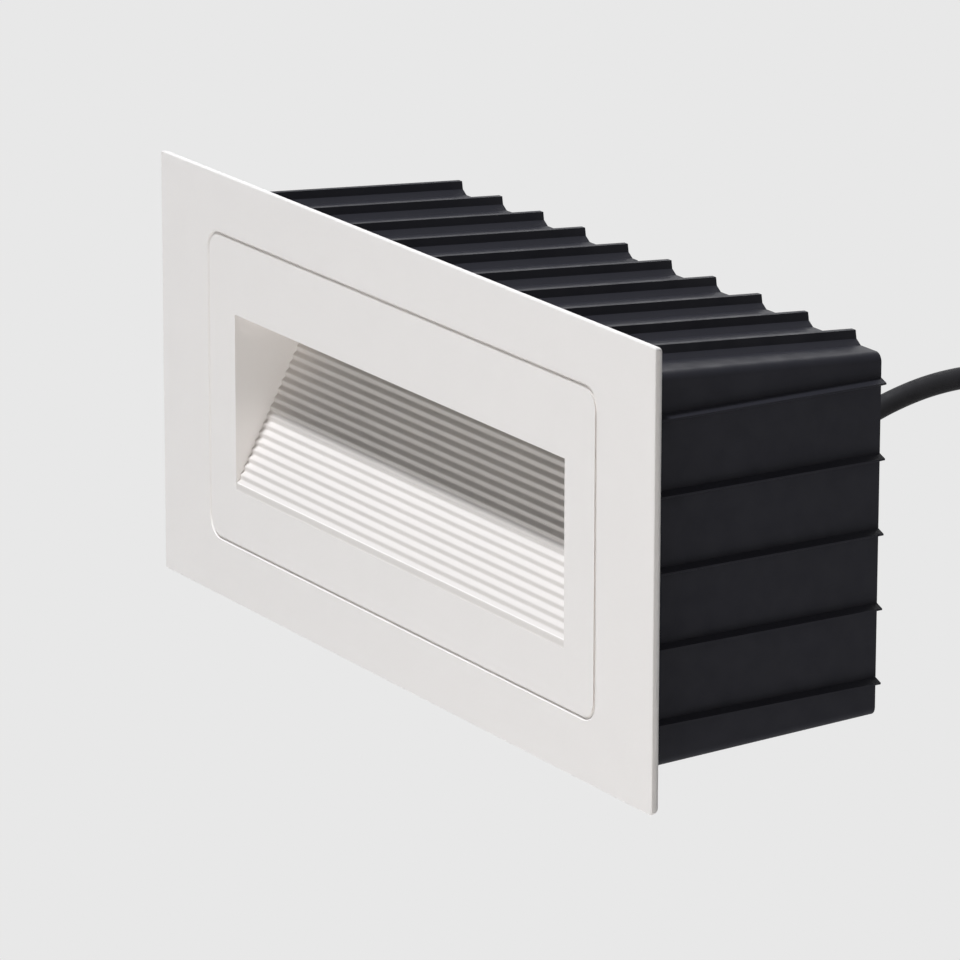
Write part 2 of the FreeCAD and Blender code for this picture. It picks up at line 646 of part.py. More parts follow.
def build_wall_box():
    body = new_body("wall_box")

    def drafted(name, kind, y0, y1, draw):
        """A loft from depth y0 to depth y1 between the shapes that draw makes there."""
        front = new_sketch(body, name + "_front", "XZ", out=-y0)
        draw(front, y0)
        rear = new_sketch(body, name + "_rear", "XZ", out=-y1)
        draw(rear, y1)
        return loft(body, kind, front, rear)

    def outline(sketch, y):
        top, bottom = box_top(y), box_bottom(y)
        rounded_rectangle(sketch, box_half_width(y) * 2, top - bottom, S.box_corner, ZERO, (top + bottom) / 2)

    drafted("shell", "AdditiveLoft", box_front, box_rear, outline)

    flange = new_sketch(body, "flange", "XZ", up=box_z, out=-box_front)
    lip = S.flange_lip * 2
    rounded_rectangle(flange, S.box_width + lip, S.box_height + lip, S.box_corner)
    extrude(body, "Pad", flange, S.flange_thick, reverse=True)

    # The waist is cut before the ribs, so that its shoulders can be rounded over their whole length.
    for name, edge, way in (("top_waist", box_top, 1), ("low_waist", box_bottom, -1)):
        def waist(sketch, y, edge=edge, way=way):
            rim, floor = edge(y) + 1.0 * way, edge(y) - S.waist_depth * way
            flare = (S.waist_width - S.waist_floor) / S.waist_depth
            mouth = S.waist_width / 2 + flare / 2
            foot = S.waist_floor / 2
            polygon(sketch, [(-mouth, rim), (mouth, rim), (foot, floor), (-foot, floor)])
        drafted(name, "SubtractiveLoft", box_front + S.flange_thick, box_rear, waist)

    mouth = S.waist_width.value / 2

    def shoulder(edge):
        box = edge.BoundBox
        long = box.YLength > S.box_depth.value * 0.9
        return long and near(abs(box.XMin), mouth, 0.1) and near(abs(box.XMax), mouth, 0.1)

    dress(body, "Fillet", S.waist_round, shoulder)

    floor_y = box_rear - S.box_wall
    for name, side in (("left_bay", -1), ("right_bay", 1)):
        def bay(sketch, y, side=side):
            inner = S.waist_width / 2 + S.box_wall
            outer = box_half_width(y) - S.box_wall
            top, bottom = box_top(y) - S.box_wall, box_bottom(y) + S.box_wall
            rounded_rectangle(sketch, outer - inner, top - bottom, S.bay_corner,
                              (outer + inner) / 2 * side, (top + bottom) / 2)
        drafted(name, "SubtractiveLoft", box_front, floor_y, bay)

    def passage(sketch, y):
        top = box_top(y) - S.box_wall - S.waist_depth
        bottom = box_bottom(y) + S.box_wall + S.waist_depth
        rectangle(sketch, (S.waist_width / 2 + S.box_wall) * 2 + 8.0, top - bottom, ZERO, (top + bottom) / 2)

    drafted("passage", "SubtractiveLoft", box_front, floor_y, passage)

    # Each rib is a pad that leans with the drafted wall that it stands on.
    rib_front = box_front + S.flange_thick / 2
    rib_length = box_rear - rib_front
    foot, neck, crest, sunk = S.long_rib_base / 2, S.long_rib_neck / 2, S.long_rib_crest / 2, S.box_wall / 4
    last_rib = S.long_rib_start + S.long_rib_pitch * (S.long_rib_count - 1)
    for name, wall, way, draft in (("top", box_top(rib_front), 1, S.draft_top),
                                   ("low", box_bottom(rib_front), -1, S.draft_bottom)):
        for bay_name, x in (("left", -last_rib), ("right", S.long_rib_start)):
            rib = new_sketch(body, "%s_%s_rib" % (bay_name, name), "XZ", out=-rib_front)
            low, bend, high = wall - sunk * way, wall + S.long_rib_bend * way, wall + S.long_rib_height * way
            polygon(rib, [(x - foot, low), (x + foot, low), (x + foot, wall), (x + neck, bend),
                          (x + crest, high), (x - crest, high), (x - neck, bend), (x - foot, wall)])
            bar = leaning_pad(body, rib, rib_length, "z", tan(draft) * way)
            pattern(body, bar, origin_axis(body, "X_Axis"), S.long_rib_pitch, S.long_rib_count)

    lowest = box_z - S.end_rib_pitch * (S.end_rib_count - 1) / 2
    half, tip = S.end_rib_base / 2, S.end_rib_tip / 2
    for name, way in (("left", -1), ("right", 1)):
        rib = new_sketch(body, name + "_end_rib", "XZ", out=-rib_front)
        wall = box_half_width(rib_front) * way
        low, high = wall - sunk * way, wall + S.end_rib_height * way
        polygon(rib, [(low, lowest - half), (wall, lowest - half), (high, lowest - tip),
                      (high, lowest + tip), (wall, lowest + half), (low, lowest + half)])
        bar = leaning_pad(body, rib, rib_length, "x", tan(S.draft_end) * way)
        pattern(body, bar, origin_axis(body, "Z_Axis"), S.end_rib_pitch, S.end_rib_count)

    holes = new_sketch(body, "rear_holes", "XZ", out=-box_rear)
    circle(holes, S.entry_side, S.entry_up, S.entry_radius)
    for side in (1, -1):
        circle(holes, S.fixing_side * side, -S.fixing_down, S.fixing_radius)
    extrude(body, "Pocket", holes, S.box_wall, reverse=True)
    return body


# ---------------------------------------------------------------- window, LEDs and driver
def build_light_engine():
    """The glass window in the recess ceiling, and the LED board that shines down through it."""
    seal = slab("window_seal", "XY", S.glass_length, S.glass_width, 3.0, S.glass_seal,
                ZERO, S.slot_back, ceiling_top, hole=(S.slot_width, S.slot_depth, S.slot_depth / 4))
    glass = slab("window_glass", "XY", S.glass_length, S.glass_width, 2.0, S.glass_thick,
                 ZERO, S.slot_back, glass_bottom)

    tray = new_body("led_carrier")
    channel = new_sketch(tray, "channel", "YZ")
    half, thick = S.glass_width / 2, S.tray_thick
    middle = S.slot_back
    polygon(channel, [
        (middle - half, glass_top), (middle - half + thick, glass_top),
        (middle - half + thick, tray_top - thick), (middle + half - thick, tray_top - thick),
        (middle + half - thick, glass_top), (middle + half, glass_top),
        (middle + half, tray_top), (middle - half, tray_top),
    ])
    extrude(tray, "Pad", channel, S.glass_length - 1.0, symmetric=True)
    tongue = new_sketch(tray, "end_tongues", "XY", up=S.slot_back, out=tray_top - thick)
    rectangle(tongue, (S.tray_screw_side + S.boss_radius) * 2, S.boss_radius * 2.4)
    extrude(tray, "Pad", tongue, thick)
    holes = new_sketch(tray, "carrier_holes", "XY", up=S.slot_back, out=tray_top)
    for side in (1, -1):
        circle(holes, S.tray_screw_side * side, ZERO, S.screw_shank + S.screw_play)
    extrude(tray, "Pocket", holes, thick)

    board_z = tray_top - thick - S.board_thick
    board = slab("led_board", "XY", S.board_length, S.board_width, 1.0, S.board_thick,
                 ZERO, S.slot_back, board_z)
    chips = []
    count = int(round(S.led_count.value))
    edge = S.led_size.value
    for number in range(count):
        x = (number - (count - 1) / 2) * S.led_pitch.value
        corner = V(x - edge / 2, S.slot_back.value - edge / 2, board_z.value - S.led_height.value)
        chips.append(Part.makeBox(edge, edge, S.led_height.value, corner))
    leds = add_group("led_chips", chips)
    keep(seal, glass, tray, board, leds)


def pan_screw(head, head_height, shank, length):
    """A pan-head screw at the origin, its head along +Y and its shank along -Y, with a hexagon socket."""
    outline = [
        V(0, 0, 0), V(head, 0, 0), V(head, head_height * 0.6, 0), V(head * 0.75, head_height, 0),
        V(0, head_height, 0), V(0, 0, 0),
    ]
    top = Part.Face(Part.makePolygon(outline)).revolve(V(0, 0, 0), V(0, 1, 0), 360)
    stem = Part.makeCylinder(shank, length, V(0, 0, 0), V(0, -1, 0))
    socket_radius = head * 0.5
    corners = [V(socket_radius * math.cos(math.radians(60 * n)), head_height * 0.4,
                 socket_radius * math.sin(math.radians(60 * n))) for n in range(7)]
    socket = Part.Face(Part.makePolygon(corners)).extrude(V(0, head_height, 0))
    return top.fuse(stem).cut(socket).removeSplitter()


def placed(shape, point, axis=V(0, 1, 0)):
    """A copy of a piece that was built along +Y, moved to a point and turned to an axis."""
    copy = shape.copy()
    copy.Placement = FreeCAD.Placement(point, FreeCAD.Rotation(V(0, 1, 0), axis))
    return copy


def build_screws():
    cover_screw = pan_screw(S.screw_head.value, S.screw_head_height.value, S.screw_shank.value,
                            S.screw_length.value)
    seat = step_rear.value
    keep(add_group("cover_screws", [placed(cover_screw, V(x.value, seat, z.value)) for x, z in BOSSES]))
    small = pan_screw(S.tray_screw_head.value, S.tray_screw_height.value, S.screw_shank.value,
                      S.tray_screw_length.value)
    points = [V(S.tray_screw_side.value * side, S.slot_back.value, tray_top.value) for side in (1, -1)]
    keep(add_group("carrier_screws", [placed(small, point, V(0, 0, 1)) for point in points]))


def build_driver():
    floor = cover_rear - S.cover_back
    body = new_body("led_driver")
    case = new_sketch(body, "driver_case", "XZ", across=-S.driver_side, up=body_z, out=-floor)
    rounded_rectangle(case, S.driver_length, S.driver_width, 2.0)
    extrude(body, "Pad", case, S.driver_thick)
    ears = new_sketch(body, "driver_ears", "XZ", across=-S.driver_side, up=body_z, out=-floor)
    rounded_rectangle(ears, S.driver_length * 0.6, S.driver_width + 14.0, 3.0)
    extrude(body, "Pad", ears, 2.0)
    lid = new_sketch(body, "driver_lid", "XZ", across=-S.driver_side, up=body_z, out=S.driver_thick - floor)
    rounded_rectangle(lid, S.driver_length - 6.0, S.driver_width - 6.0, 2.0)
    extrude(body, "Pocket", lid, 1.0)

    block = new_body("terminal_block")
    housing = new_sketch(block, "block_outline", "XZ", across=S.terminal_side, up=body_z, out=-floor)
    rectangle(housing, S.terminal_pitch * 3, S.terminal_width)
    extrude(block, "Pad", housing, S.terminal_thick)
    well = new_sketch(block, "clamp_well", "XZ", across=S.terminal_side - S.terminal_pitch, up=body_z,
                      out=S.terminal_thick - floor)
    circle(well, ZERO, S.terminal_width / 4, 2.2)
    circle(well, ZERO, -S.terminal_width / 4, 2.2)
    wells = extrude(block, "Pocket", well, 4.0)
    pattern(block, wells, origin_axis(block, "X_Axis"), S.terminal_pitch, size(3))

    clamp = Part.makeCylinder(1.9, 2.5, V(0, 0, 0), V(0, 1, 0))
    slot = Part.makeBox(4.4, 0.8, 0.7, V(-2.2, 0, -0.35))
    clamp = clamp.cut(slot)
    seat_y = (floor - S.terminal_thick + 1.5).value
    clamps = []
    for number in (-1, 0, 1):
        for way in (1, -1):
            x = (S.terminal_side + S.terminal_pitch * number).value
            z = (body_z + S.terminal_width / 4 * way).value
            clamps.append(placed(clamp, V(x, seat_y, z)))
    keep(body, block, add_group("terminal_screws", clamps))


# ---------------------------------------------------------------- cable gland, along +X
def hexagon(x0, length, corner_radius):
    prism = doc.addObject("Part::Prism", "hexagon")
    prism.Polygon = 6
    bind(prism, "Circumradius", corner_radius)
    bind(prism, "Height", length)
    return along_gland(prism, x0)


def barrel(x0, length, radius):
    rod = doc.addObject("Part::Cylinder", "barrel")
    bind(rod, "Radius", radius)
    bind(rod, "Height", length)
    return along_gland(rod, x0)


def along_gland(item, x0):
    item.Placement = FreeCAD.Placement(V(0, 0, 0), FreeCAD.Rotation(V(0, 1, 0), 90))
    for axis, place in (("x", x0), ("y", gland_y), ("z", gland_z)):
        bind(item, "Placement.Base." + axis, place)
    return item


def joined(label, items, cuts):
    """One solid from primitives: the items fused, less the cuts."""
    solid = items[0]
    if len(items) > 1:
        solid = doc.addObject("Part::MultiFuse", label + "_solid")
        solid.Shapes = items
    tool = cuts[0]
    if len(cuts) > 1:
        tool = doc.addObject("Part::MultiFuse", label + "_tool")
        tool.Shapes = cuts
    cut = doc.addObject("Part::Cut", label)
    cut.Base = solid
    cut.Tool = tool
    cut.Label = label
    return cut


def build_gland():
    bore = S.cable_radius + S.cable_play
    inside = step_x - S.body_wall - S.lock_nut - 1.0
    collar_end = step_x + S.gland_collar
    thread_end = collar_end + S.gland_outer
    gland = joined("gland_body", [
        barrel(inside, step_x - inside + 0.5, S.gland_thread),
        hexagon(step_x, S.gland_collar, S.gland_hex),
        barrel(collar_end - 0.5, S.gland_outer + 0.5, S.gland_thread),
    ], [barrel(inside - 1.0, S.gland_outer * 3, bore),
        barrel(collar_end + 1.0, S.gland_outer, S.gland_thread - 0.9)])
    seal = joined("gland_seal", [barrel(collar_end + 1.0, S.gland_outer - 1.0, S.gland_thread - 1.1)],
                  [barrel(collar_end, S.gland_outer + 1.0, bore)])
    cap_start = collar_end + 1.0
    cap_end = cap_start + S.gland_cap
    cap = joined("gland_cap_nut", [hexagon(cap_start, S.gland_cap * 0.6, S.gland_hex),
                                   barrel(cap_start, S.gland_cap, S.gland_hex * 0.82)],
                 [barrel(cap_start - 1.0, thread_end - cap_start + 1.4, S.gland_thread + 0.15),
                  barrel(cap_start, cap_end - cap_start + 1.0, bore)])
    nut = joined("gland_lock_nut", [hexagon(step_x - S.body_wall - S.lock_nut, S.lock_nut, S.gland_hex * 0.95)],
                 [barrel(inside - 1.0, S.gland_outer * 2, S.gland_thread + 0.15)])
    keep(gland, seal, cap, nut)
    return cap_end


# ---------------------------------------------------------------- spring clips
def build_clip(side, word):
    """One clip: a riveted bracket, its pin, a spring-steel arm and a torsion spring."""
    wall_x = S.body_width / 2
    tall, sheet_t, play = S.clip_tall, S.clip_sheet, S.clip_play
    ear_back = S.clip_back + 3.5
    base_front = rivet_y - 5.0

    bracket = new_body("clip_bracket_" + word)
    base = new_sketch(bracket, "bracket_base_" + word, "XY", out=body_z)
    polygon(base, [(wall_x * side, base_front), ((wall_x + sheet_t) * side, base_front),
                   ((wall_x + sheet_t) * side, ear_back), (wall_x * side, ear_back)])
    extrude(bracket, "Pad", base, tall, symmetric=True)
    for name, z in (("upper", body_z + tall / 2), ("lower", body_z - tall / 2 + sheet_t)):
        ear = new_sketch(bracket, name + "_ear_" + word, "XY", out=z)
        polygon(ear, [(wall_x * side, S.clip_back - 4.0), ((pin_x + 1.2) * side, S.clip_back - 3.2),
                      ((pin_x + 3.0) * side, S.clip_back), ((pin_x + 1.2) * side, ear_back),
                      (wall_x * side, ear_back)])
        extrude(bracket, "Pad", ear, sheet_t, reverse=True)
    bore = new_sketch(bracket, "pin_holes_" + word, "XY", out=body_z)
    circle(bore, pin_x * side, S.clip_back, S.clip_pin_radius + 0.05)
    extrude(bracket, "Pocket", bore, tall + 1.0, symmetric=True)
    holes = new_sketch(bracket, "rivet_holes_" + word, "YZ", out=(wall_x + sheet_t / 2) * side)
    for z in rivet_z:
        circle(holes, rivet_y, z, rivet_radius)
    extrude(bracket, "Pocket", holes, sheet_t * 2, symmetric=True)

    pin = new_body("clip_pin_" + word)
    shaft = new_sketch(pin, "pin_shaft_" + word, "XY", across=pin_x * side, up=S.clip_back, out=body_z)
    circle(shaft, ZERO, ZERO, S.clip_pin_radius)
    extrude(pin, "Pad", shaft, tall + 1.6, symmetric=True)
    head = new_sketch(pin, "pin_head_" + word, "XY", across=pin_x * side, up=S.clip_back,
                      out=body_z + tall / 2)
    circle(head, ZERO, ZERO, S.clip_pin_radius + 0.8)
    extrude(pin, "Pad", head, 0.8)

    arm = new_body("clip_arm_" + word)
    gap_tall = tall - sheet_t * 2 - play * 2
    eye = new_sketch(arm, "arm_eye_" + word, "XY", out=body_z)
    circle(eye, pin_x * side, S.clip_back, S.arm_knuckle)
    extrude(arm, "Pad", eye, gap_tall, symmetric=True)
    strip = new_sketch(arm, "arm_strip_" + word, "XY", out=body_z)
    t = S.arm_sheet
    root_x = pin_x + S.arm_knuckle
    bend_x, bend_y = pin_x + S.arm_spread, S.clip_back - S.arm_reach
    polygon(strip, [
        ((root_x - t) * side, S.clip_back), (root_x * side, S.clip_back),
        ((bend_x + t * 0.2) * side, bend_y + 1.2), (bend_x * side, bend_y - 0.4),
        ((bend_x - 2.2) * side, bend_y - 2.6), ((bend_x - 2.8) * side, bend_y - 2.0),
        ((bend_x - t) * side, bend_y),
    ])
    extrude(arm, "Pad", strip, gap_tall, symmetric=True)
    room = new_sketch(arm, "spring_room_" + word, "XY", out=body_z)
    circle(room, pin_x * side, S.clip_back, S.spring_outer + play)
    extrude(arm, "Pocket", room, S.spring_tall + play * 2, symmetric=True)
    axle = new_sketch(arm, "arm_bore_" + word, "XY", out=body_z)
    circle(axle, pin_x * side, S.clip_back, S.clip_pin_radius + 0.08)
    extrude(arm, "Pocket", axle, tall, symmetric=True)

    spring = new_body("clip_spring_" + word)
    winding = new_sketch(spring, "spring_winding_" + word, "XY", out=body_z)
    circle(winding, pin_x * side, S.clip_back, S.spring_outer)
    circle(winding, pin_x * side, S.clip_back, S.spring_outer - S.spring_wire)
    extrude(spring, "Pad", winding, S.spring_tall, symmetric=True)
    for name, z, way in (("upper", body_z + S.spring_tall / 2, -1), ("lower", body_z - S.spring_tall / 2, 1)):
        leg = new_sketch(spring, name + "_leg_" + word, "XY", out=z)
        middle = (pin_x - S.spring_wire / 2 * way) * side
        start, reach = S.spring_outer - S.spring_wire, S.spring_leg
        rectangle(leg, S.spring_wire * 0.8, reach - start, middle, S.clip_back - (start + reach) / 2)
        extrude(spring, "Pad", leg, S.spring_wire, reverse=(way == -1))

    head_r, head_t = rivet_radius.value * 1.7, 0.7
    grip = (S.clip_sheet + S.body_wall).value
    rivets = []
    for z in rivet_z:
        point = V((wall_x - S.body_wall).value * side, rivet_y.value, z.value)
        way = V(side, 0, 0)
        stem = Part.makeCylinder(rivet_radius.value - 0.05, grip + head_t, point, way)
        outer = Part.makeCone(head_r, head_r * 0.6, head_t, point + way * grip, way)
        inner = Part.makeCone(head_r, head_r * 0.6, head_t, point, way * -1)
        rivets.append(stem.fuse([outer, inner]).removeSplitter())
    keep(bracket, pin, arm, spring, add_group("clip_rivets_" + word, rivets))


# ---------------------------------------------------------------- wound and bent round pieces
def biarc(p0, t0, p1, t1):
    """Two arcs in space that leave p0 along t0 and reach p1 along t1, equal in reach."""
    chord = p1 - p0
    total = t0 + t1
    a = 2 * (1 - t0.dot(t1))
    b = 2 * chord.dot(total)
    c = -chord.dot(chord)
    reach = -c / b if abs(a) < 1e-9 else (-b + math.sqrt(b * b - 4 * a * c)) / (2 * a)
    knee0, knee1 = p0 + t0 * reach, p1 - t1 * reach
    middle = (knee0 + knee1) * 0.5
    return [arc_edge(p0, knee0, middle), arc_edge(middle, knee1, p1)]


def arc_edge(start, knee, end):
    """The arc from start to end whose tangents meet at knee."""
    leg = (knee - start).Length
    half_turn = (knee - start).getAngle(end - knee) / 2
    radius = leg / math.tan(half_turn)
    inward = ((start - knee).normalize() + (end - knee).normalize()).normalize()
    through = knee + inward * (radius / math.cos(half_turn) - radius)
    return Part.Arc(start, through, end).toShape()


def helix_edges(centre, axis, first, radius, pitch, turns, steps=4):
    """Biarcs along a helix that starts at centre + first * radius. Returns its edges and end states."""
    second = axis.cross(first)
    quarters = int(round(turns * steps))

    def state(number):
        angle = 2 * math.pi * number / steps
        point = centre + first * (radius * math.cos(angle)) + second * (radius * math.sin(angle))
        point = point + axis * (pitch * number / steps)
        along = second * (radius * math.cos(angle)) - first * (radius * math.sin(angle))
        along = along + axis * (pitch / (2 * math.pi))
        return point, along.normalize()

    edges = []
    for number in range(quarters):
        edges += biarc(*state(number), *state(number + 1))
    return edges, state(0), state(quarters)


def pipe(edges, radius, sides):
    """A tube of flat sides along edges that join end to end."""
    path = Part.Wire(edges)
    start = edges[0].valueAt(edges[0].FirstParameter)
    ahead = edges[0].tangentAt(edges[0].FirstParameter)
    beside = ahead.cross(V(0, 0, 1) if abs(ahead.z) < 0.9 else V(1, 0, 0)).normalize()
    above = ahead.cross(beside)
    corners = []
    for number in range(sides + 1):
        angle = 2 * math.pi * number / sides
        corners.append(start + beside * (radius * math.cos(angle)) + above * (radius * math.sin(angle)))
    return path.makePipeShell([Part.makePolygon(corners)], True, False)


def section(radius, sides):
    """The area of a tube's section."""
    return sides / 2 * radius * radius * math.sin(2 * math.pi / sides)


def least_gap(edges, radius, apart):
    """The least gap of a tube to itself, between points at least apart millimetres away along it."""
    points, lengths, run = [], [], 0.0
    for edge in edges:
        count = max(2, int(edge.Length / 1.0))
        for number in range(count):
            points.append(edge.valueAt(edge.getParameterByLength(edge.Length * number / count)))
            lengths.append(run + edge.Length * number / count)
        run += edge.Length
    least = 1e9
    for i, here in enumerate(points):
        for j in range(i + 1, len(points)):
            if lengths[j] - lengths[i] > apart:
                least = min(least, here.distanceToPoint(points[j]))
    return least - 2 * radius


def route_edges(points):
    """Straight runs joined by tangent arcs, each as large as its two runs allow. Prints the radii."""
    runs = [(b - a).Length for a, b in zip(points, points[1:])]
    ends, arcs, radii = [points[0]], [], []
    for before, corner, after, run_in, run_out in zip(points, points[1:], points[2:], runs, runs[1:]):
        cut = 0.45 * min(run_in, run_out)
        start = corner + (before - corner).normalize() * cut
        end = corner + (after - corner).normalize() * cut
        radii.append(cut / math.tan((corner - before).getAngle(after - corner) / 2))
        arcs.append(arc_edge(start, corner, end))
        ends += [start, end]
    ends.append(points[-1])
    edges = []
    for number in range(0, len(ends), 2):
        edges.append(Part.LineSegment(ends[number], ends[number + 1]).toShape())
        if number // 2 < len(arcs):
            edges.append(arcs[number // 2])
    return edges, radii


def tube(label, points, radius):
    edges, radii = route_edges(points)
    solid = pipe(edges, radius, CABLE_SIDES)
    length = sum(edge.Length for edge in edges)
    drift = solid.Volume / (length * section(radius, CABLE_SIDES)) - 1
    print(label, "length %.1f" % length, "volume off by %.4f" % drift,
          "radii", ["%.1f" % item for item in radii])
    piece = doc.addObject("Part::Feature", label)
    piece.Shape = solid
    piece.Label = label
    return piece, length


# ---------------------------------------------------------------- cables
def sheath(label, start, end):
    """A straight stretch of the supply cable that a gland or a boot holds."""
    rod = doc.addObject("Part::Feature", label)
    rod.Shape = Part.makeCylinder(S.cable_radius.value, (end - start).Length, start, end - start)
    rod.Label = label
    keep(rod)


def build_lead(cap_end):
    """The cable from the terminal block through the gland, and its slack loop in the right-hand bay."""
    radius = S.cable_radius.value
    depth, low, high, side = gland_y.value, gland_z.value, S.entry_up.value, S.entry_side.value
    inner_end = (step_x - S.body_wall - S.lock_nut - 3.0).value
    held_end = (cap_end + S.gland_grip).value
    wall_middle = (box_rear - S.box_wall / 2).value
    sheath("cable_in_gland", V(inner_end, depth, low), V(held_end, depth, low))
    turn_x, corner = held_end + S.lead_reach.value, S.lead_turn.value
    lead, _ = tube("lead_in_box", [
        V(held_end, depth, low),
        V(turn_x, depth, low),
        V(turn_x + (high - low) * 0.289, depth, (low + high) / 2),
        V(turn_x, depth, high),
        V(side + corner, depth, high),
        V(side, depth + corner, high),
        V(side, wall_middle, high),
    ], radius)
    keep(lead)

    inner = []
    for number in (-1, 0, 1):
        y = depth + (S.core_radius.value * 2 + 0.05) * number
        pole_x = (S.terminal_side + S.terminal_pitch * number).value
        start = V(inner_end, y, low)
        knee = V(pole_x, y, low)
        finish = V(pole_x, y, (body_z - S.terminal_width / 2).value)
        core_path, _ = route_edges([start, knee, finish])
        inner.append(pipe(core_path, S.core_radius.value, WIRE_SIDES))
    keep(add_group("supply_cores", inner))

    leads = []
    for shift in (-1.6, 1.6):
        x = -S.driver_side.value + shift
        y = (cover_rear - S.cover_back - S.driver_thick / 2).value
        start = V(x, y, (body_z + S.driver_width / 2).value)
        knee = V(x, y, (glass_top + S.tray_height / 2).value)
        finish = V(x, (S.slot_back + S.glass_width / 2).value, knee.z)
        wire_path, _ = route_edges([start, knee, finish])
        leads.append(pipe(wire_path, S.lead_radius.value, WIRE_SIDES))
    keep(add_group("led_leads", leads))


def build_supply():
    """The cable outside the wall box: its free stretch, then the stored length in a coil."""
    radius = S.cable_radius.value
    side, high = S.entry_side.value, S.entry_up.value
    boot_end = (box_rear + S.boot_length + S.cable_grip).value
    sheath("cable_in_entry", V(side, (box_rear - S.box_wall / 2).value, high), V(side, boot_end, high))
    start = V(side, boot_end, high)
    route = [start] + [start + V(*step) for step in CABLE_STEPS]
    cable, cable_length = tube("supply_cable", route, radius)

    # The coil starts at its highest point, and its turns step to the right.
    top = route[-1]
    ahead = (route[-1] - route[-2]).normalize()
    up = V(0, 0, 1)
    axis = up.cross(ahead)
    pitch = -S.coil_pitch.value
    first_end = top + ahead * (2 * radius)
    hub = first_end - up * S.coil_radius.value
    edges, _, (end, away) = helix_edges(hub, axis, up, S.coil_radius.value, pitch, S.coil_turns.value)
    sheath_end = end + away * S.tail_length.value
    path = [Part.LineSegment(top, first_end).toShape()] + edges + [Part.LineSegment(end, sheath_end).toShape()]
    coil = doc.addObject("Part::Feature", "cable_coil")
    coil.Shape = pipe(path, radius, CABLE_SIDES)
    coil.Label = "cable_coil"
    coil_length = sum(edge.Length for edge in path)
    drift = coil.Shape.Volume / (coil_length * section(radius, CABLE_SIDES)) - 1
    print("cable_coil least gap to itself %.2f" % least_gap(path, radius, 4 * S.coil_radius.value),
          "volume off by %.4f" % drift)
    print("cable outside the box %.0f" % (cable_length + coil_length))

    # A tie round the strands on the coil's far side, where the tail leaves it.
    first_strand, last_strand = 0.25, S.coil_turns.value
    middle = (first_strand + last_strand) / 2 * pitch
    half_long = (last_strand - first_strand) * S.coil_pitch.value / 2 + radius + 0.35
    half_wide = radius + 0.5
    thick, width = S.tie_thick.value, S.tie_width.value

    def strap_block(along, across, height):
        block = Part.makeBox(2 * along, 2 * across, height, V(-along, -across, -height / 2))
        upright = [edge for edge in block.Edges if edge.BoundBox.ZLength > height * 0.9]
        return block.makeFillet(across * 0.8, upright)

    strap = strap_block(half_long + thick, half_wide + thick, width)
    lock = Part.makeBox(width * 1.5, width * 1.1, width * 1.5,
                        V(-width * 0.75, half_wide + thick / 2, -width * 0.75))
    strap = strap.fuse(lock).cut(strap_block(half_long, half_wide, width * 3)).removeSplitter()
    tie = doc.addObject("Part::Feature", "cable_tie")
    tie.Shape = strap
    tie.Placement = FreeCAD.Placement(hub + axis * middle + ahead * S.coil_radius.value,
                                      FreeCAD.Rotation(axis, ahead, up, "ZXY"))
    tie.Label = "cable_tie"

    # Three stripped cores at the far end, spread a little.
    beside = away.cross(ahead).normalize()
    cores, tips = [], []
    for number in range(3):
        angle = math.radians(90 + 120 * number)
        out = ahead * math.cos(angle) + beside * math.sin(angle)
        foot = sheath_end + out * 1.05 + away * 0.2
        knee = foot + away * (S.strip_length.value * 0.45)
        tip = foot + away * S.strip_length.value + out * (2.0 + number)
        core_path, _ = route_edges([foot, knee, tip])
        cores.append(pipe(core_path, S.core_radius.value, WIRE_SIDES))
        tips.append(Part.makeCylinder(S.core_radius.value * 0.55, S.bare_length.value, tip, tip - knee))
    keep(cable, coil, tie, add_group("cable_cores", cores), add_group("core_ends", tips))


def build_entry():
    """Rubber cable entry in the back of the wall box, with a tapered boot outside."""
    wall = S.box_wall.value
    neck = S.entry_radius.value - 0.1
    flange, lip = S.boot_flange.value, S.boot_lip.value
    bore = (S.cable_radius + S.cable_play).value
    tip, long = S.boot_tip.value, S.boot_length.value
    outline = [
        V(bore, -wall - lip, 0), V(flange, -wall - lip, 0), V(flange, -wall, 0), V(neck, -wall, 0),
        V(neck, 0, 0), V(flange, 0, 0), V(flange, lip, 0), V(neck * 1.15, lip + 1.2, 0),
        V(tip, long, 0), V(bore, long, 0), V(bore, -wall - lip, 0),
    ]
    piece = doc.addObject("Part::Feature", "cable_entry")
    piece.Shape = Part.Face(Part.makePolygon(outline)).revolve(V(0, 0, 0), V(0, 1, 0), 360)
    piece.Placement = FreeCAD.Placement(V(S.entry_side.value, box_rear.value, S.entry_up.value),
                                        FreeCAD.Rotation())
    piece.Label = "cable_entry"
    keep(piece)


# ---------------------------------------------------------------- the whole light
keep(build_faceplate())
keep(build_rear_cover())
keep(build_wall_box())
keep(slab("plate_gasket", "XZ", S.box_width + S.pad_wide, S.box_height + S.pad_wide, S.box_corner,
          S.pad_thick, ZERO, box_z, ZERO, reverse=True,
          hole=(S.box_width - S.pad_wide, S.box_height - S.pad_wide, S.box_corner / 2)))
keep(slab("body_gasket", "XZ", S.body_width, S.body_height, S.body_corner, S.seal_thick,
          ZERO, body_z, -S.body_depth, reverse=True,
          hole=(S.body_width - S.body_wall * 2, S.body_height - S.body_wall * 2, S.body_corner - S.body_wall)))
build_light_engine()
build_screws()
build_driver()
gland_end = build_gland()
build_clip(1, "right")
build_clip(-1, "left")
build_entry()
build_lead(gland_end)
build_supply()

doc.recompute()
for item in doc.Objects:
    if "Invalid" in item.State or "Error" in item.State:
        raise RuntimeError("%s did not compute: %s" % (item.Name, item.State))
for item in NODES:
    if item.Shape.isNull() or not item.Shape.isValid():
        raise RuntimeError("%s has no valid shape" % item.Label)

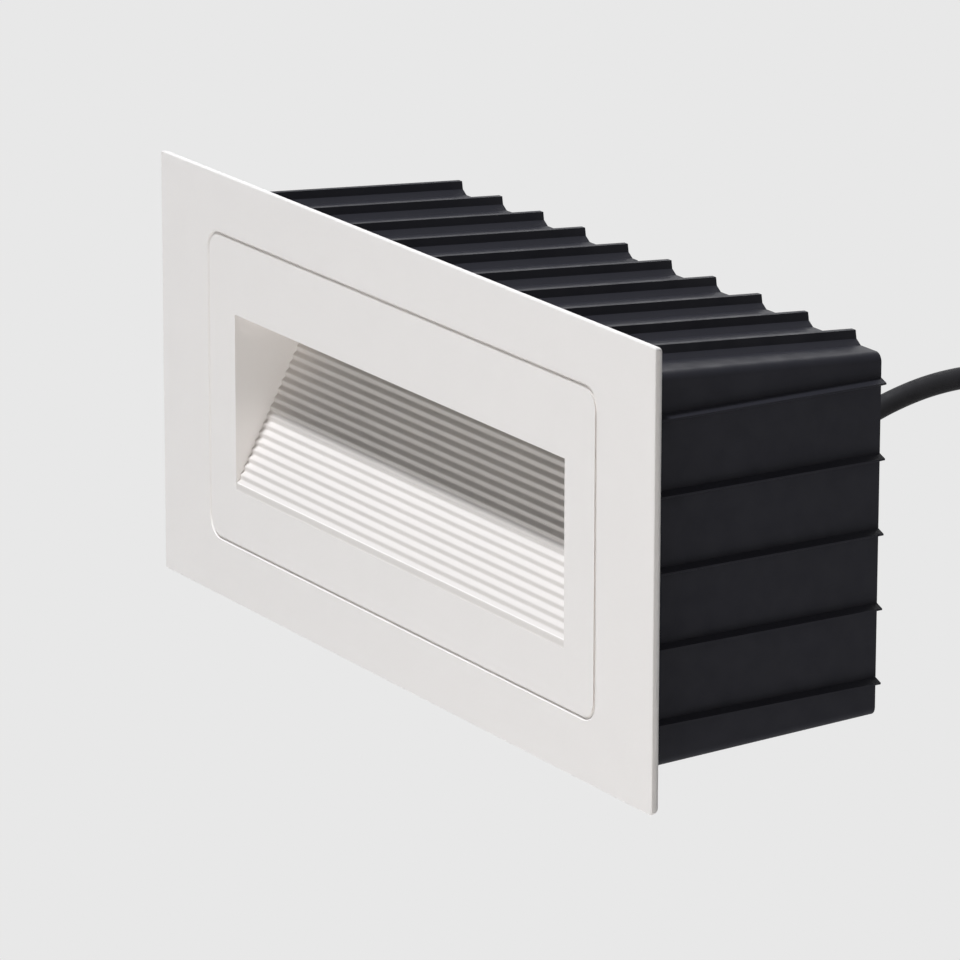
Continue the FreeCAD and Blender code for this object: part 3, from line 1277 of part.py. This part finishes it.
os.makedirs("parts", exist_ok=True)
for item in NODES:
    item.Shape.exportStep("parts/%s.step" % item.Label)
    box = item.Shape.BoundBox
    print("%-20s solids %2d  volume %9.1f  x %.1f..%.1f  y %.1f..%.1f  z %.1f..%.1f" % (
        item.Label, len(item.Shape.Solids), item.Shape.Volume,
        box.XMin, box.XMax, box.YMin, box.YMax, box.ZMin, box.ZMax))
print(len(NODES), "pieces")
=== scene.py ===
"""Recessed step light: finishes, cables, springs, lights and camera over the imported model.

Lengths in the lists and calls are millimetres, turned into metres by mm(). Only the lamps, the floor
and the camera's clipping are given in metres. +X runs along the faceplate to the right, +Y back into
the wall and +Z up. The origin is in the wall's surface.
"""
import json
import math

import bpy
from mathutils import Matrix, Vector


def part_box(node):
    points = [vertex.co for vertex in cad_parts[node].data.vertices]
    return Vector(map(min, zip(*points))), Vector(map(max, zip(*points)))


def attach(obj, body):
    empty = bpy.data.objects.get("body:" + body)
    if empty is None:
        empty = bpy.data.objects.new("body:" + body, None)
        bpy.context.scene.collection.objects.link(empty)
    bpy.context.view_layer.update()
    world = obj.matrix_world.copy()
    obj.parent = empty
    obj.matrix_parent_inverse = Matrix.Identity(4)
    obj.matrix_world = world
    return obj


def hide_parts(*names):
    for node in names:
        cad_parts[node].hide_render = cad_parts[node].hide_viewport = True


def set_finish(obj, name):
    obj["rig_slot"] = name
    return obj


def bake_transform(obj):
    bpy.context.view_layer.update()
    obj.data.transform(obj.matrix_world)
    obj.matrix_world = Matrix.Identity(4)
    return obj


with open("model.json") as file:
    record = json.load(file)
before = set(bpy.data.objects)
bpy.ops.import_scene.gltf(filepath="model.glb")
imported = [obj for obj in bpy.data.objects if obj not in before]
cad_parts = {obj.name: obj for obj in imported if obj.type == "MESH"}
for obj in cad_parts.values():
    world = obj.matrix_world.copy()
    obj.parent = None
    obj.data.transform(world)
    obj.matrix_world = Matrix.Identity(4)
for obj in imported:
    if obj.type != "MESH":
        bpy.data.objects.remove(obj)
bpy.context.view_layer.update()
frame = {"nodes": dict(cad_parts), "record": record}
NODES = frame["nodes"]
UP = Vector((0, 0, 1))


def mm(*values):
    """Millimetres to metres: one number, or a point."""
    return values[0] * 0.001 if len(values) == 1 else Vector(values) * 0.001


# ---------------------------------------------------------------- camera
CAMERA_TARGET = mm(41, -2.6, 6.2)
CAMERA_DISTANCE = mm(1512)
CAMERA_AZIMUTH, CAMERA_ELEVATION, CAMERA_ROLL = 59.25, 15.5, 0.1
CAMERA_LENS, CAMERA_SENSOR = 241.2, 36.0


def place_camera():
    """The camera on a sphere round its target. The azimuth runs from the front to the right."""
    turn, rise, roll = (math.radians(a) for a in (CAMERA_AZIMUTH, CAMERA_ELEVATION, CAMERA_ROLL))
    back = Vector((math.sin(turn) * math.cos(rise), -math.cos(turn) * math.cos(rise), math.sin(rise)))
    level = Vector((math.cos(turn), math.sin(turn), 0))
    upright = back.cross(level)
    right = level * math.cos(roll) + upright * math.sin(roll)
    above = upright * math.cos(roll) - level * math.sin(roll)
    camera = bpy.data.objects.new("camera", bpy.data.cameras.new("camera"))
    bpy.context.scene.collection.objects.link(camera)
    camera.matrix_world = Matrix.Translation(CAMERA_TARGET + back * CAMERA_DISTANCE) @ Matrix(
        (right, above, back)).transposed().to_4x4()
    camera.data.lens = CAMERA_LENS
    camera.data.sensor_width = CAMERA_SENSOR
    camera.data.clip_start, camera.data.clip_end = 0.05, 60.0
    bpy.context.scene.camera = camera


# ---------------------------------------------------------------- finishes
def linear(red, green, blue):
    """A colour as a screen shows it, 0 to 255, to the shader's own scale."""
    def one(value):
        value /= 255
        return value / 12.92 if value <= 0.04045 else ((value + 0.055) / 1.055) ** 2.4
    return one(red), one(green), one(blue)


class Finish:
    """A material made of one Principled shader and textures fixed to the object."""

    def __init__(self, name, colour, roughness, **sockets):
        self.material = bpy.data.materials.new(name)
        self.material.use_nodes = True
        self.tree = self.material.node_tree
        self.shader = self.tree.nodes["Principled BSDF"]
        self.colour = colour
        self.shader.inputs["Base Color"].default_value = (*colour, 1)
        self.shader.inputs["Roughness"].default_value = roughness
        for socket, value in sockets.items():
            self.shader.inputs[socket.replace("_", " ")].default_value = value
        self.place = self.add("ShaderNodeTexCoord").outputs["Object"]
        self.bumped = None
        self.material.diffuse_color = (*colour, 1)

    def add(self, kind, **values):
        node = self.tree.nodes.new(kind)
        for key, value in values.items():
            setattr(node, key, value)
        return node

    def link(self, source, target):
        self.tree.links.new(source, target)

    def noise(self, size, detail=2.0, stretch=None):
        """Noise whose blotches are size millimetres across, drawn out along the axes by stretch."""
        place = self.place
        if stretch:
            mapping = self.add("ShaderNodeMapping")
            mapping.inputs["Scale"].default_value = [1 / s for s in stretch]
            self.link(place, mapping.inputs["Vector"])
            place = mapping.outputs["Vector"]
        node = self.add("ShaderNodeTexNoise")
        node.inputs["Scale"].default_value = 1 / mm(size)
        node.inputs["Detail"].default_value = detail
        self.link(place, node.inputs["Vector"])
        return node.outputs["Fac"]

    def mottle(self, size, amount, stretch=None):
        """The colour varies by plus or minus amount of itself, in blotches of that size."""
        ramp = self.add("ShaderNodeMix", data_type="RGBA")
        ramp.inputs["A"].default_value = (*[c * (1 - amount) for c in self.colour], 1)
        ramp.inputs["B"].default_value = (*[min(1, c * (1 + amount)) for c in self.colour], 1)
        self.link(self.noise(size, 3.0, stretch), ramp.inputs["Factor"])
        self.link(ramp.outputs["Result"], self.shader.inputs["Base Color"])
        return self

    def uneven(self, size, low, high, stretch=None):
        """The roughness runs between low and high, in blotches of that size."""
        spread = self.add("ShaderNodeMapRange")
        spread.inputs["From Min"].default_value, spread.inputs["From Max"].default_value = 0.3, 0.7
        spread.inputs["To Min"].default_value, spread.inputs["To Max"].default_value = low, high
        self.link(self.noise(size, 2.0, stretch), spread.inputs["Value"])
        self.link(spread.outputs["Result"], self.shader.inputs["Roughness"])
        return self

    def grain(self, size, height, detail=2.0, stretch=None):
        """Bumps of that size and height, in millimetres, over any that are there."""
        bump = self.add("ShaderNodeBump")
        bump.inputs["Strength"].default_value = 1.0
        bump.inputs["Distance"].default_value = mm(height)
        self.link(self.noise(size, detail, stretch), bump.inputs["Height"])
        if self.bumped:
            self.link(self.bumped, bump.inputs["Normal"])
        self.bumped = bump.outputs["Normal"]
        self.link(self.bumped, self.shader.inputs["Normal"])
        return self


def moulded(name, colour, roughness, grain, depth, **sockets):
    """Moulded plastic with a fine spark-eroded grain and faint flow marks."""
    finish = Finish(name, colour, roughness, **sockets)
    return finish.mottle(18, 0.10).uneven(6, roughness - 0.06, roughness + 0.06).grain(grain, depth)


def metal(name, colour, roughness, stretch=(1, 1, 1)):
    """Bare metal, brushed where it is stretched."""
    finish = Finish(name, colour, roughness, Metallic=1.0)
    return finish.mottle(2.5, 0.08, stretch).uneven(0.8, roughness - 0.08, roughness + 0.1, stretch).grain(
        0.5, 0.004, 2.0, stretch)


def soft_skin(name, colour, roughness):
    """Extruded or moulded soft plastic or rubber."""
    return Finish(name, colour, roughness, Specular_IOR_Level=0.3).mottle(9, 0.08).uneven(
        3, roughness - 0.08, roughness + 0.08).grain(0.6, 0.01)


def powder_coat(name, colour, gloss):
    """Powder coat: faintly uneven, with a fine orange peel."""
    finish = Finish(name, colour, 0.5, Specular_IOR_Level=gloss)
    return finish.mottle(14, 0.012).uneven(5, 0.46, 0.56).grain(1.0, 0.022).grain(0.42, 0.006)


def make_finishes():
    """Every finish by name: the record's slots, and a few that only the pieces made here use."""
    casting = Finish("grey_casting", linear(196, 196, 194), 0.55)
    casting.mottle(10, 0.04).uneven(4, 0.5, 0.62).grain(0.9, 0.03).grain(0.3, 0.008)
    foam = Finish("foam", linear(46, 46, 48), 0.9, Specular_IOR_Level=0.15)
    foam.mottle(0.8, 0.45).grain(0.55, 0.16, 3.0)
    silicone = Finish("silicone", linear(190, 192, 190), 0.45, Transmission_Weight=0.15)
    silicone.mottle(5, 0.05).grain(1.2, 0.008)
    glass = Finish("frosted_glass", linear(236, 240, 238), 0.42, Transmission_Weight=0.85, IOR=1.5)
    glass.mottle(6, 0.02).uneven(1.5, 0.38, 0.5).grain(0.25, 0.01)
    board = Finish("circuit_board", linear(228, 230, 226), 0.4)
    board.mottle(3, 0.05).uneven(2, 0.34, 0.46).grain(0.4, 0.006)
    resin = Finish("led_resin", linear(236, 200, 60), 0.3)
    resin.mottle(0.7, 0.12).grain(0.3, 0.02)
    return {
        "white_powder_coat": powder_coat("white_powder_coat", linear(235, 231, 228), 0.35),
        # Painted shade: the steps' coat is the plate's white powder coat made darker and warmer, standing
        # in for the shade and warm bounced light in the recess.
        "reflector_coat_painted_shade": powder_coat("reflector_coat_painted_shade", linear(221, 216, 212), 0.3),
        "grey_casting": casting, "foam": foam, "silicone": silicone,
        "frosted_glass": glass, "circuit_board": board, "led_resin": resin,
        "aluminium_sheet": metal("aluminium_sheet", linear(205, 206, 208), 0.34, (14, 1, 1)),
        "stainless_steel": metal("stainless_steel", linear(196, 195, 192), 0.28),
        "spring_steel": metal("spring_steel", linear(150, 150, 152), 0.3, (1, 1, 8)),
        "brass": metal("brass", linear(214, 176, 98), 0.3),
        "copper": metal("copper", linear(206, 128, 88), 0.32, (1, 1, 10)),
        "driver_case": moulded("driver_case", linear(226, 226, 222), 0.45, 0.5, 0.012),
        "terminal_plastic": moulded("terminal_plastic", linear(214, 212, 204), 0.42, 0.6, 0.01),
        "gland_nylon": moulded("gland_nylon", linear(40, 40, 42), 0.45, 0.5, 0.01, Specular_IOR_Level=0.35),
        "black_plastic": moulded("black_plastic", linear(28, 28, 35), 0.6, 0.4, 0.012,
                                 Specular_IOR_Level=0.2),
        "black_nylon": moulded("black_nylon", linear(30, 30, 31), 0.4, 0.5, 0.01, Specular_IOR_Level=0.35),
        "black_rubber": soft_skin("black_rubber", linear(30, 30, 32), 0.7),
        "cable_sheath": soft_skin("cable_sheath", linear(16, 15, 19), 0.66),
        "core_insulation": soft_skin("core_insulation", linear(120, 74, 44), 0.4),
        "core_blue": soft_skin("core_blue", linear(46, 96, 176), 0.4),
        "core_earth": soft_skin("core_earth", linear(120, 168, 50), 0.4),
        "lead_insulation": soft_skin("lead_insulation", linear(178, 40, 36), 0.4),
        "lead_return": soft_skin("lead_return", linear(34, 34, 36), 0.4),
    }


def dress(piece, finish):
    """Give a piece or a CAD node one finish all over."""
    piece.data.materials.clear()
    piece.data.materials.append(FINISHES[finish].material)
    return piece


# ---------------------------------------------------------------- round pieces
def line(name, points, diameter, finish, slot=None):
    """A round curve of one open NURBS spline along those points."""
    return lines(name, [points], diameter, finish, slot)


def lines(name, routes, diameter, finish, slot=None):
    """Round curves along several routes, as one piece."""
    data = bpy.data.curves.new(name, "CURVE")
    data.dimensions = "3D"
    data.bevel_depth = diameter / 2
    data.bevel_resolution = 6
    data.resolution_u = 16
    data.use_fill_caps = True
    for points in routes:
        spline = data.splines.new("NURBS")
        spline.points.add(len(points) - 1)
        for control, point in zip(spline.points, points):
            control.co = (*point, 1)
        spline.order_u = 3
        spline.use_endpoint_u = True
    piece = bpy.data.objects.new(name, data)
    bpy.context.scene.collection.objects.link(piece)
    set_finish(piece, slot or finish)
    return dress(piece, finish)


def as_mesh(piece):
    """The same piece with its curve turned into a mesh."""
    graph = bpy.context.evaluated_depsgraph_get()
    mesh = bpy.data.meshes.new_from_object(piece.evaluated_get(graph))
    for polygon in mesh.polygons:
        polygon.use_smooth = True
    solid = bpy.data.objects.new(piece.name + "_tube", mesh)
    bpy.context.scene.collection.objects.link(solid)
    solid["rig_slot"] = piece["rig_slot"]
    bpy.data.objects.remove(piece)
    return solid


# ---------------------------------------------------------------- supply cable and its stored coil
CABLE_DIAMETER = mm(5.4)
BOOT_END = mm(50, 90.4, 8.7)  # where the boot's grip on the cable ends
CABLE_STEPS = [(0, 7.2, 0.2), (0.2, 17.1, 4.1), (0.8, 29.6, 7.1), (1.8, 43.6, 7.8), (3.2, 58.6, 6.5),
               (4.4, 72.6, 6.5)]  # the free cable's points, from there
COIL_RADIUS, COIL_PITCH, COIL_TURNS = mm(28.6), mm(6.1), 2.25
TAIL_LENGTH = mm(24)
STEPS_A_TURN = 16
STRIP_LENGTH, BARE_LENGTH = mm(26), mm(6)
CORE_RADIUS = mm(0.85)
CORE_FINISHES = ("core_insulation", "core_blue", "core_earth")
CORE_RING, CORE_START = mm(1.05), mm(0.2)  # the cores' starts, round the cable's middle and past its end
CORE_KNEE = 0.45  # share of the strip where a core starts to spread
CORE_SPREADS = (mm(2), mm(3), mm(4))  # how far each core's tip leans out
STRAND_COUNT, STRAND_DIAMETER = 7, mm(0.3)  # one in the middle and the others round it
STRAND_RING = mm(0.31)
STRAND_STEPS, STRAND_TWIST = 6, 25  # steps along a strand, and degrees of twist in each
STRAND_INSET = mm(0.3)  # the strands start inside their core


def coil_points(top, ahead):
    """Control points of the coil and its hanging tail, and the tail's direction."""
    axis = UP.cross(ahead)
    start = top + ahead * CABLE_DIAMETER
    hub = start - UP * COIL_RADIUS
    # The curve runs inside its points: three quarters of one and an eighth of each neighbour.
    wide = COIL_RADIUS / (0.75 + 0.25 * math.cos(2 * math.pi / STEPS_A_TURN))
    points = []
    for number in range(int(COIL_TURNS * STEPS_A_TURN) + 1):
        angle = 2 * math.pi * number / STEPS_A_TURN
        radius = wide if 0 < number < COIL_TURNS * STEPS_A_TURN else COIL_RADIUS
        points.append(hub + (UP * math.cos(angle) + ahead * math.sin(angle)) * radius
                      - axis * (COIL_PITCH * number / STEPS_A_TURN))
    end = points[-1]
    away = (-UP - axis * (COIL_PITCH / (2 * math.pi * COIL_RADIUS))).normalized()
    return points + [end + away * (TAIL_LENGTH / 2), end + away * TAIL_LENGTH], away


def make_supply_cable():
    """The cable from its boot to the coil, and the stripped cores at its end."""
    route = [BOOT_END] + [BOOT_END + mm(*step) for step in CABLE_STEPS]
    ahead = (route[-1] - route[-2]).normalized()
    coil, away = coil_points(route[-1], ahead)
    cable = line("supply_cord", route + coil, CABLE_DIAMETER, "cable_sheath")
    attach(cable, "wall_box")
    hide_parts("supply_cable", "cable_coil")

    beside = away.cross(ahead).normalized()
    loose = [NODES["cable_tie"]]
    for number, (finish, spread) in enumerate(zip(CORE_FINISHES, CORE_SPREADS)):
        angle = math.radians(90 + 120 * number)
        out = ahead * math.cos(angle) + beside * math.sin(angle)
        foot = coil[-1] + out * CORE_RING + away * CORE_START
        knee = foot + away * (STRIP_LENGTH * CORE_KNEE)
        tip = foot + away * STRIP_LENGTH + out * spread
        core = line("core_%d" % (number + 1), [foot, knee, tip], CORE_RADIUS * 2, finish, "core_insulation")
        loose += [core, bare_strands(number, tip, (tip - knee).normalized())]
    for piece in loose[1:]:
        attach(piece, "wall_box")
    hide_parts("cable_cores")
    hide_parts("core_ends")


def bare_strands(number, tip, ahead):
    """Twisted copper strands out of one core."""
    side = ahead.orthogonal().normalized()
    other = ahead.cross(side)
    strands = []
    for strand in range(STRAND_COUNT):
        radius = STRAND_RING if strand else 0.0
        points = []
        for step in range(STRAND_STEPS + 1):
            angle = math.radians(360 / (STRAND_COUNT - 1) * strand + STRAND_TWIST * step)
            along = (BARE_LENGTH + STRAND_INSET) * step / STRAND_STEPS
            points.append(tip - ahead * STRAND_INSET + ahead * along
                          + (side * math.cos(angle) + other * math.sin(angle)) * radius)
        strands.append(points)
    return lines("bare_strands_%d" % (number + 1), strands, STRAND_DIAMETER, "copper")


# ---------------------------------------------------------------- cable and wires inside
LEAD_ROUTE = [(61, 41.2, -28), (82.6, 41.2, -28), (93.2, 41.2, -9.65), (82.6, 41.2, 8.7), (61.5, 41.2, 8.7),
              (50, 52.7, 8.7), (50, 68.3, 8.7)]  # the slack lead, from the gland to the cable entry
SHARES_ALONG = (-0.5, -0.2, 0.2, 0.5)  # of a short straight cable, from its middle
CORE_GAP = mm(0.05)
CORE_BEND = (0.4, 0.6)  # shares of a core's two legs, between which it bends
LED_LEAD_RADIUS, LED_LEAD_BEND = mm(0.6), mm(4)


def make_lead():
    """The slack lead, from the gland to the cable entry, as one mesh."""
    lead = as_mesh(line("inner_lead", [mm(*point) for point in LEAD_ROUTE], CABLE_DIAMETER, "cable_sheath"))
    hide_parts("lead_in_box")
    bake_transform(lead)


def make_sheath(name, node, body, axis):
    """The straight stretch of cable in a seal, along that axis."""
    low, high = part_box(node)
    along = Vector((0, 0, 0))
    along[axis] = high[axis] - low[axis]
    points = [(low + high) / 2 + along * share for share in SHARES_ALONG]
    piece = line(name, points, CABLE_DIAMETER, "cable_sheath")
    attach(piece, body)
    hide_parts(node)


def make_terminal_cores():
    """The supply's three cores, from the gland up into the terminal block's poles."""
    low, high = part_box("supply_cores")
    block_low, block_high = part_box("terminal_block")
    pole = (block_high.x - block_low.x) / len(CORE_FINISHES)
    for number, finish in zip((-1, 0, 1), CORE_FINISHES):
        depth = (low.y + high.y) / 2 + (CORE_RADIUS * 2 + CORE_GAP) * number
        pole_x = (block_low.x + block_high.x) / 2 + pole * number
        level = low.z + CORE_RADIUS
        start, knee = Vector((high.x, depth, level)), Vector((pole_x, depth, level))
        top = Vector((pole_x, depth, high.z))
        points = [start, start.lerp(knee, CORE_BEND[0]), knee, knee.lerp(top, CORE_BEND[1]), top]
        wire = line("terminal_core_%d" % (number + 2), points, CORE_RADIUS * 2, finish, "core_insulation")
        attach(wire, "lamp_unit")
        if number == -1:
            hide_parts("supply_cores")


def make_led_leads():
    """The driver's two leads, up and forward to the LED board."""
    low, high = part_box("led_leads")
    radius = LED_LEAD_RADIUS
    for side, finish in ((low.x + radius, "lead_insulation"), (high.x - radius, "lead_return")):
        depth, level = high.y - radius, high.z - radius
        points = [Vector((side, depth, low.z)), Vector((side, depth, level - LED_LEAD_BEND)),
                  Vector((side, depth, level)), Vector((side, depth - LED_LEAD_BEND, level)),
                  Vector((side, low.y, level))]
        wire = line("driver_" + finish, points, radius * 2, finish, "lead_insulation")
        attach(wire, "lamp_unit")
        if finish == "lead_insulation":
            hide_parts("led_leads")


# ---------------------------------------------------------------- torsion springs
SPRING_WIRE, SPRING_OUTER, SPRING_LEG = mm(0.8), mm(2.9), mm(6.0)
SPRING_TURNS, SPRING_STEPS = 5, 14  # turns, and steps in each
LEG_ROOT = mm(0.7)  # a leg starts to bend this far ahead of the turns
LEG_TURN = 9  # degrees from straight ahead to the turns' first and last points


def make_springs():
    """A torsion spring round each clip's pin, its legs forward along the clip."""
    for side, word in ((1, "right"), (-1, "left")):
        node = "clip_spring_" + word
        pin_low, pin_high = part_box("clip_pin_" + word)
        low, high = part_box(node)
        middle = (pin_low + pin_high) / 2
        bottom, top = low.z + SPRING_WIRE / 2, high.z - SPRING_WIRE / 2
        radius = SPRING_OUTER - SPRING_WIRE / 2
        offset = SPRING_WIRE / 2 * side
        points = [Vector((middle.x + offset, middle.y - SPRING_LEG, bottom)),
                  Vector((middle.x + offset, middle.y - radius - LEG_ROOT, bottom))]
        steps = SPRING_TURNS * SPRING_STEPS
        for step in range(steps + 1):
            turn = math.radians(-90 + LEG_TURN + (360 * SPRING_TURNS - 2 * LEG_TURN) * step / steps)
            across, deep = radius * math.cos(turn) * side, radius * math.sin(turn)
            level = bottom + (top - bottom) * step / steps
            points.append(Vector((middle.x + across, middle.y + deep, level)))
        points += [Vector((middle.x - offset, middle.y - radius - LEG_ROOT, top)),
                   Vector((middle.x - offset, middle.y - SPRING_LEG, top))]
        spring = line("torsion_spring_" + word, points, SPRING_WIRE, "spring_steel")
        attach(spring, "lamp_unit")
        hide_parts(node)


# ---------------------------------------------------------------- steps of the ribbed reflector
# Places on the slope are a pair: along it from its foot, and out of it.
STEP_COUNT, STEP_PITCH = 22, mm(2.355)
STEP_CREST, STEP_HEIGHT = mm(1.05), mm(0.6)  # from a step's foot
STEP_START = mm(0.66)
STEP_LIFT, STEP_LEAN = mm(0.26), 0.0145  # the steps' feet over the casting's slope, and how that grows
STEP_ROUNDING = 0.22  # share of each flank taken up by the rounding at its ends
FIRST_FOOT, FIRST_CREST = mm(0.4, 0.1), mm(1.66, 0.8)  # the first step sits lower
SLOPE_START = mm(0.05, 0)
SLOPE_FOOT, SLOPE_ANGLE = mm(0, -2.6, -25.2), math.radians(61.4)
OPENING_HALF = mm(79)
STEPS_SUNK = mm(0.4)  # the steps' underside below the slope
STEPS_LAP = mm(0.2)  # the steps' ends into the recess's sides


def rounded(corners, share):
    """The same open line with each inner corner turned into a short curve."""
    points = [corners[0]]
    for before, corner, after in zip(corners, corners[1:], corners[2:]):
        start, end = corner.lerp(before, share), corner.lerp(after, share)
        for step in (0, 0.33, 0.67, 1):
            points.append(start.lerp(corner, step).lerp(corner.lerp(end, step), step))
    return points + [corners[-1]]


def make_reflector_steps():
    """The reflector's steps: upright in front and sloping back to the foot of the next."""
    corners = [SLOPE_START]
    for number in range(STEP_COUNT):
        foot = STEP_START + STEP_PITCH * number
        lift = STEP_LIFT + foot * STEP_LEAN
        corners += [Vector((foot, lift)), Vector((foot + STEP_CREST, lift + STEP_HEIGHT))]
    corners[1:3] = [FIRST_FOOT, FIRST_CREST]
    corners.append(Vector((STEP_START + STEP_PITCH * STEP_COUNT, 0)))
    profile = rounded(corners, STEP_ROUNDING)

    along = Vector((0, math.cos(SLOPE_ANGLE), math.sin(SLOPE_ANGLE)))
    out = Vector((0, -math.sin(SLOPE_ANGLE), math.cos(SLOPE_ANGLE)))
    half = OPENING_HALF + STEPS_LAP
    points, faces = [], []
    for place, height in profile:
        for x in (-half, half):
            for level in (height, -STEPS_SUNK):
                points.append(SLOPE_FOOT + along * place + out * level + Vector((x, 0, 0)))
    for number in range(len(profile) - 1):
        a, b = 4 * number, 4 * number + 4
        faces += [(a, a + 2, b + 2, b), (a + 1, b + 1, b + 3, a + 3), (a, b, b + 1, a + 1),
                  (a + 2, a + 3, b + 3, b + 2)]
    faces += [(0, 1, 3, 2), (b, b + 2, b + 3, b + 1)]
    mesh = bpy.data.meshes.new("reflector_steps")
    mesh.from_pydata(points, [], faces)
    steps = bpy.data.objects.new("reflector_steps", mesh)
    bpy.context.scene.collection.objects.link(steps)
    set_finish(steps, "white_powder_coat")
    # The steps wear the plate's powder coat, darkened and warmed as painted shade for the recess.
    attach(dress(steps, "reflector_coat_painted_shade"), "lamp_unit")


# ---------------------------------------------------------------- floor, backdrop and lights
BACKDROP = linear(232, 232, 232)
AMBIENT = 0.08
FLOOR_LEVEL, FLOOR_HALF, FLOOR_ROUGHNESS = -0.9, 20.0, 0.9


def shown_or_lit(tree, shown, lit, output):
    """Join two shaders: shown to the camera and in reflections, and lit for every other ray."""
    rays = tree.nodes.new("ShaderNodeLightPath")
    seen = rays.outputs["Is Camera Ray"]
    for other in ("Is Glossy Ray", "Is Transmission Ray"):
        either = tree.nodes.new("ShaderNodeMath")
        either.operation = "MAXIMUM"
        tree.links.new(seen, either.inputs[0])
        tree.links.new(rays.outputs[other], either.inputs[1])
        seen = either.outputs["Value"]
    mix = tree.nodes.new("ShaderNodeMixShader")
    tree.links.new(seen, mix.inputs["Fac"])
    tree.links.new(lit, mix.inputs[1])
    tree.links.new(shown, mix.inputs[2])
    tree.links.new(mix.outputs["Shader"], tree.nodes[output].inputs["Surface"])


def make_surroundings():
    """A plain pale world and floor, which add little light of their own."""
    world = bpy.data.worlds.new("studio")
    bpy.context.scene.world = world
    world.use_nodes = True
    tree = world.node_tree
    shown, lit = tree.nodes["Background"], tree.nodes.new("ShaderNodeBackground")
    shown.inputs["Color"].default_value = (*BACKDROP, 1)
    lit.inputs["Color"].default_value = (1, 1, 1, 1)
    lit.inputs["Strength"].default_value = AMBIENT
    shown_or_lit(tree, shown.outputs["Background"], lit.outputs["Background"], "World Output")

    half = FLOOR_HALF
    corners = ((-half, -half), (half, -half), (half, half), (-half, half))
    mesh = bpy.data.meshes.new("floor")
    mesh.from_pydata([(x, y, FLOOR_LEVEL) for x, y in corners], [], [(0, 1, 2, 3)])
    floor = bpy.data.objects.new("floor", mesh)
    bpy.context.scene.collection.objects.link(floor)
    material = bpy.data.materials.new("floor")
    material.use_nodes = True
    tree = material.node_tree
    lit = tree.nodes["Principled BSDF"]
    lit.inputs["Base Color"].default_value = (*BACKDROP, 1)
    lit.inputs["Roughness"].default_value = FLOOR_ROUGHNESS
    shown = tree.nodes.new("ShaderNodeEmission")
    shown.inputs["Color"].default_value = (*BACKDROP, 1)
    shown_or_lit(tree, shown.outputs["Emission"], lit.outputs["BSDF"], "Material Output")
    mesh.materials.append(material)


def soft_light(name, towards, brightness, size, distance=3.0, colour=(1, 1, 1)):
    """A square lamp in that direction, which lights a white face turned to it to that brightness."""
    towards = Vector(towards).normalized()
    data = bpy.data.lights.new(name, "AREA")
    data.size = size
    data.color = colour
    data.energy = brightness * (math.pi * distance) ** 2
    lamp = bpy.data.objects.new(name, data)
    bpy.context.scene.collection.objects.link(lamp)
    lamp.location = towards * distance
    lamp.visible_camera = False
    lamp.rotation_euler = towards.to_track_quat("Z", "Y").to_euler()


bpy.context.scene.view_settings.view_transform = "Standard"
place_camera()
FINISHES = make_finishes()
for part in frame["record"]["subparts"]:
    dress(NODES[part["node"]], part["material_slot"])
make_supply_cable()
make_lead()
make_sheath("sheath_entry", "cable_in_entry", "wall_box", 1)
make_sheath("sheath_gland", "cable_in_gland", "lamp_unit", 0)
make_terminal_cores()
make_led_leads()
make_springs()
make_reflector_steps()
make_surroundings()
# The key throws the shadows of the opening's upper edge and of the ribs. The fill comes from low on the
# right, and lights the shade in the recess and the box's end. The third lights the back, from the left.
soft_light("key", (-0.1, -0.322, 0.943), 1.17, 0.25, colour=(0.97, 1, 1.04))
soft_light("low_fill", (0.545, -0.536, -0.645), 0.93, 0.9, distance=1.4, colour=(1.02, 1, 0.97))
soft_light("rear_side", (-0.55, 0.78, 0.3), 0.28, 1.0, distance=1.8)
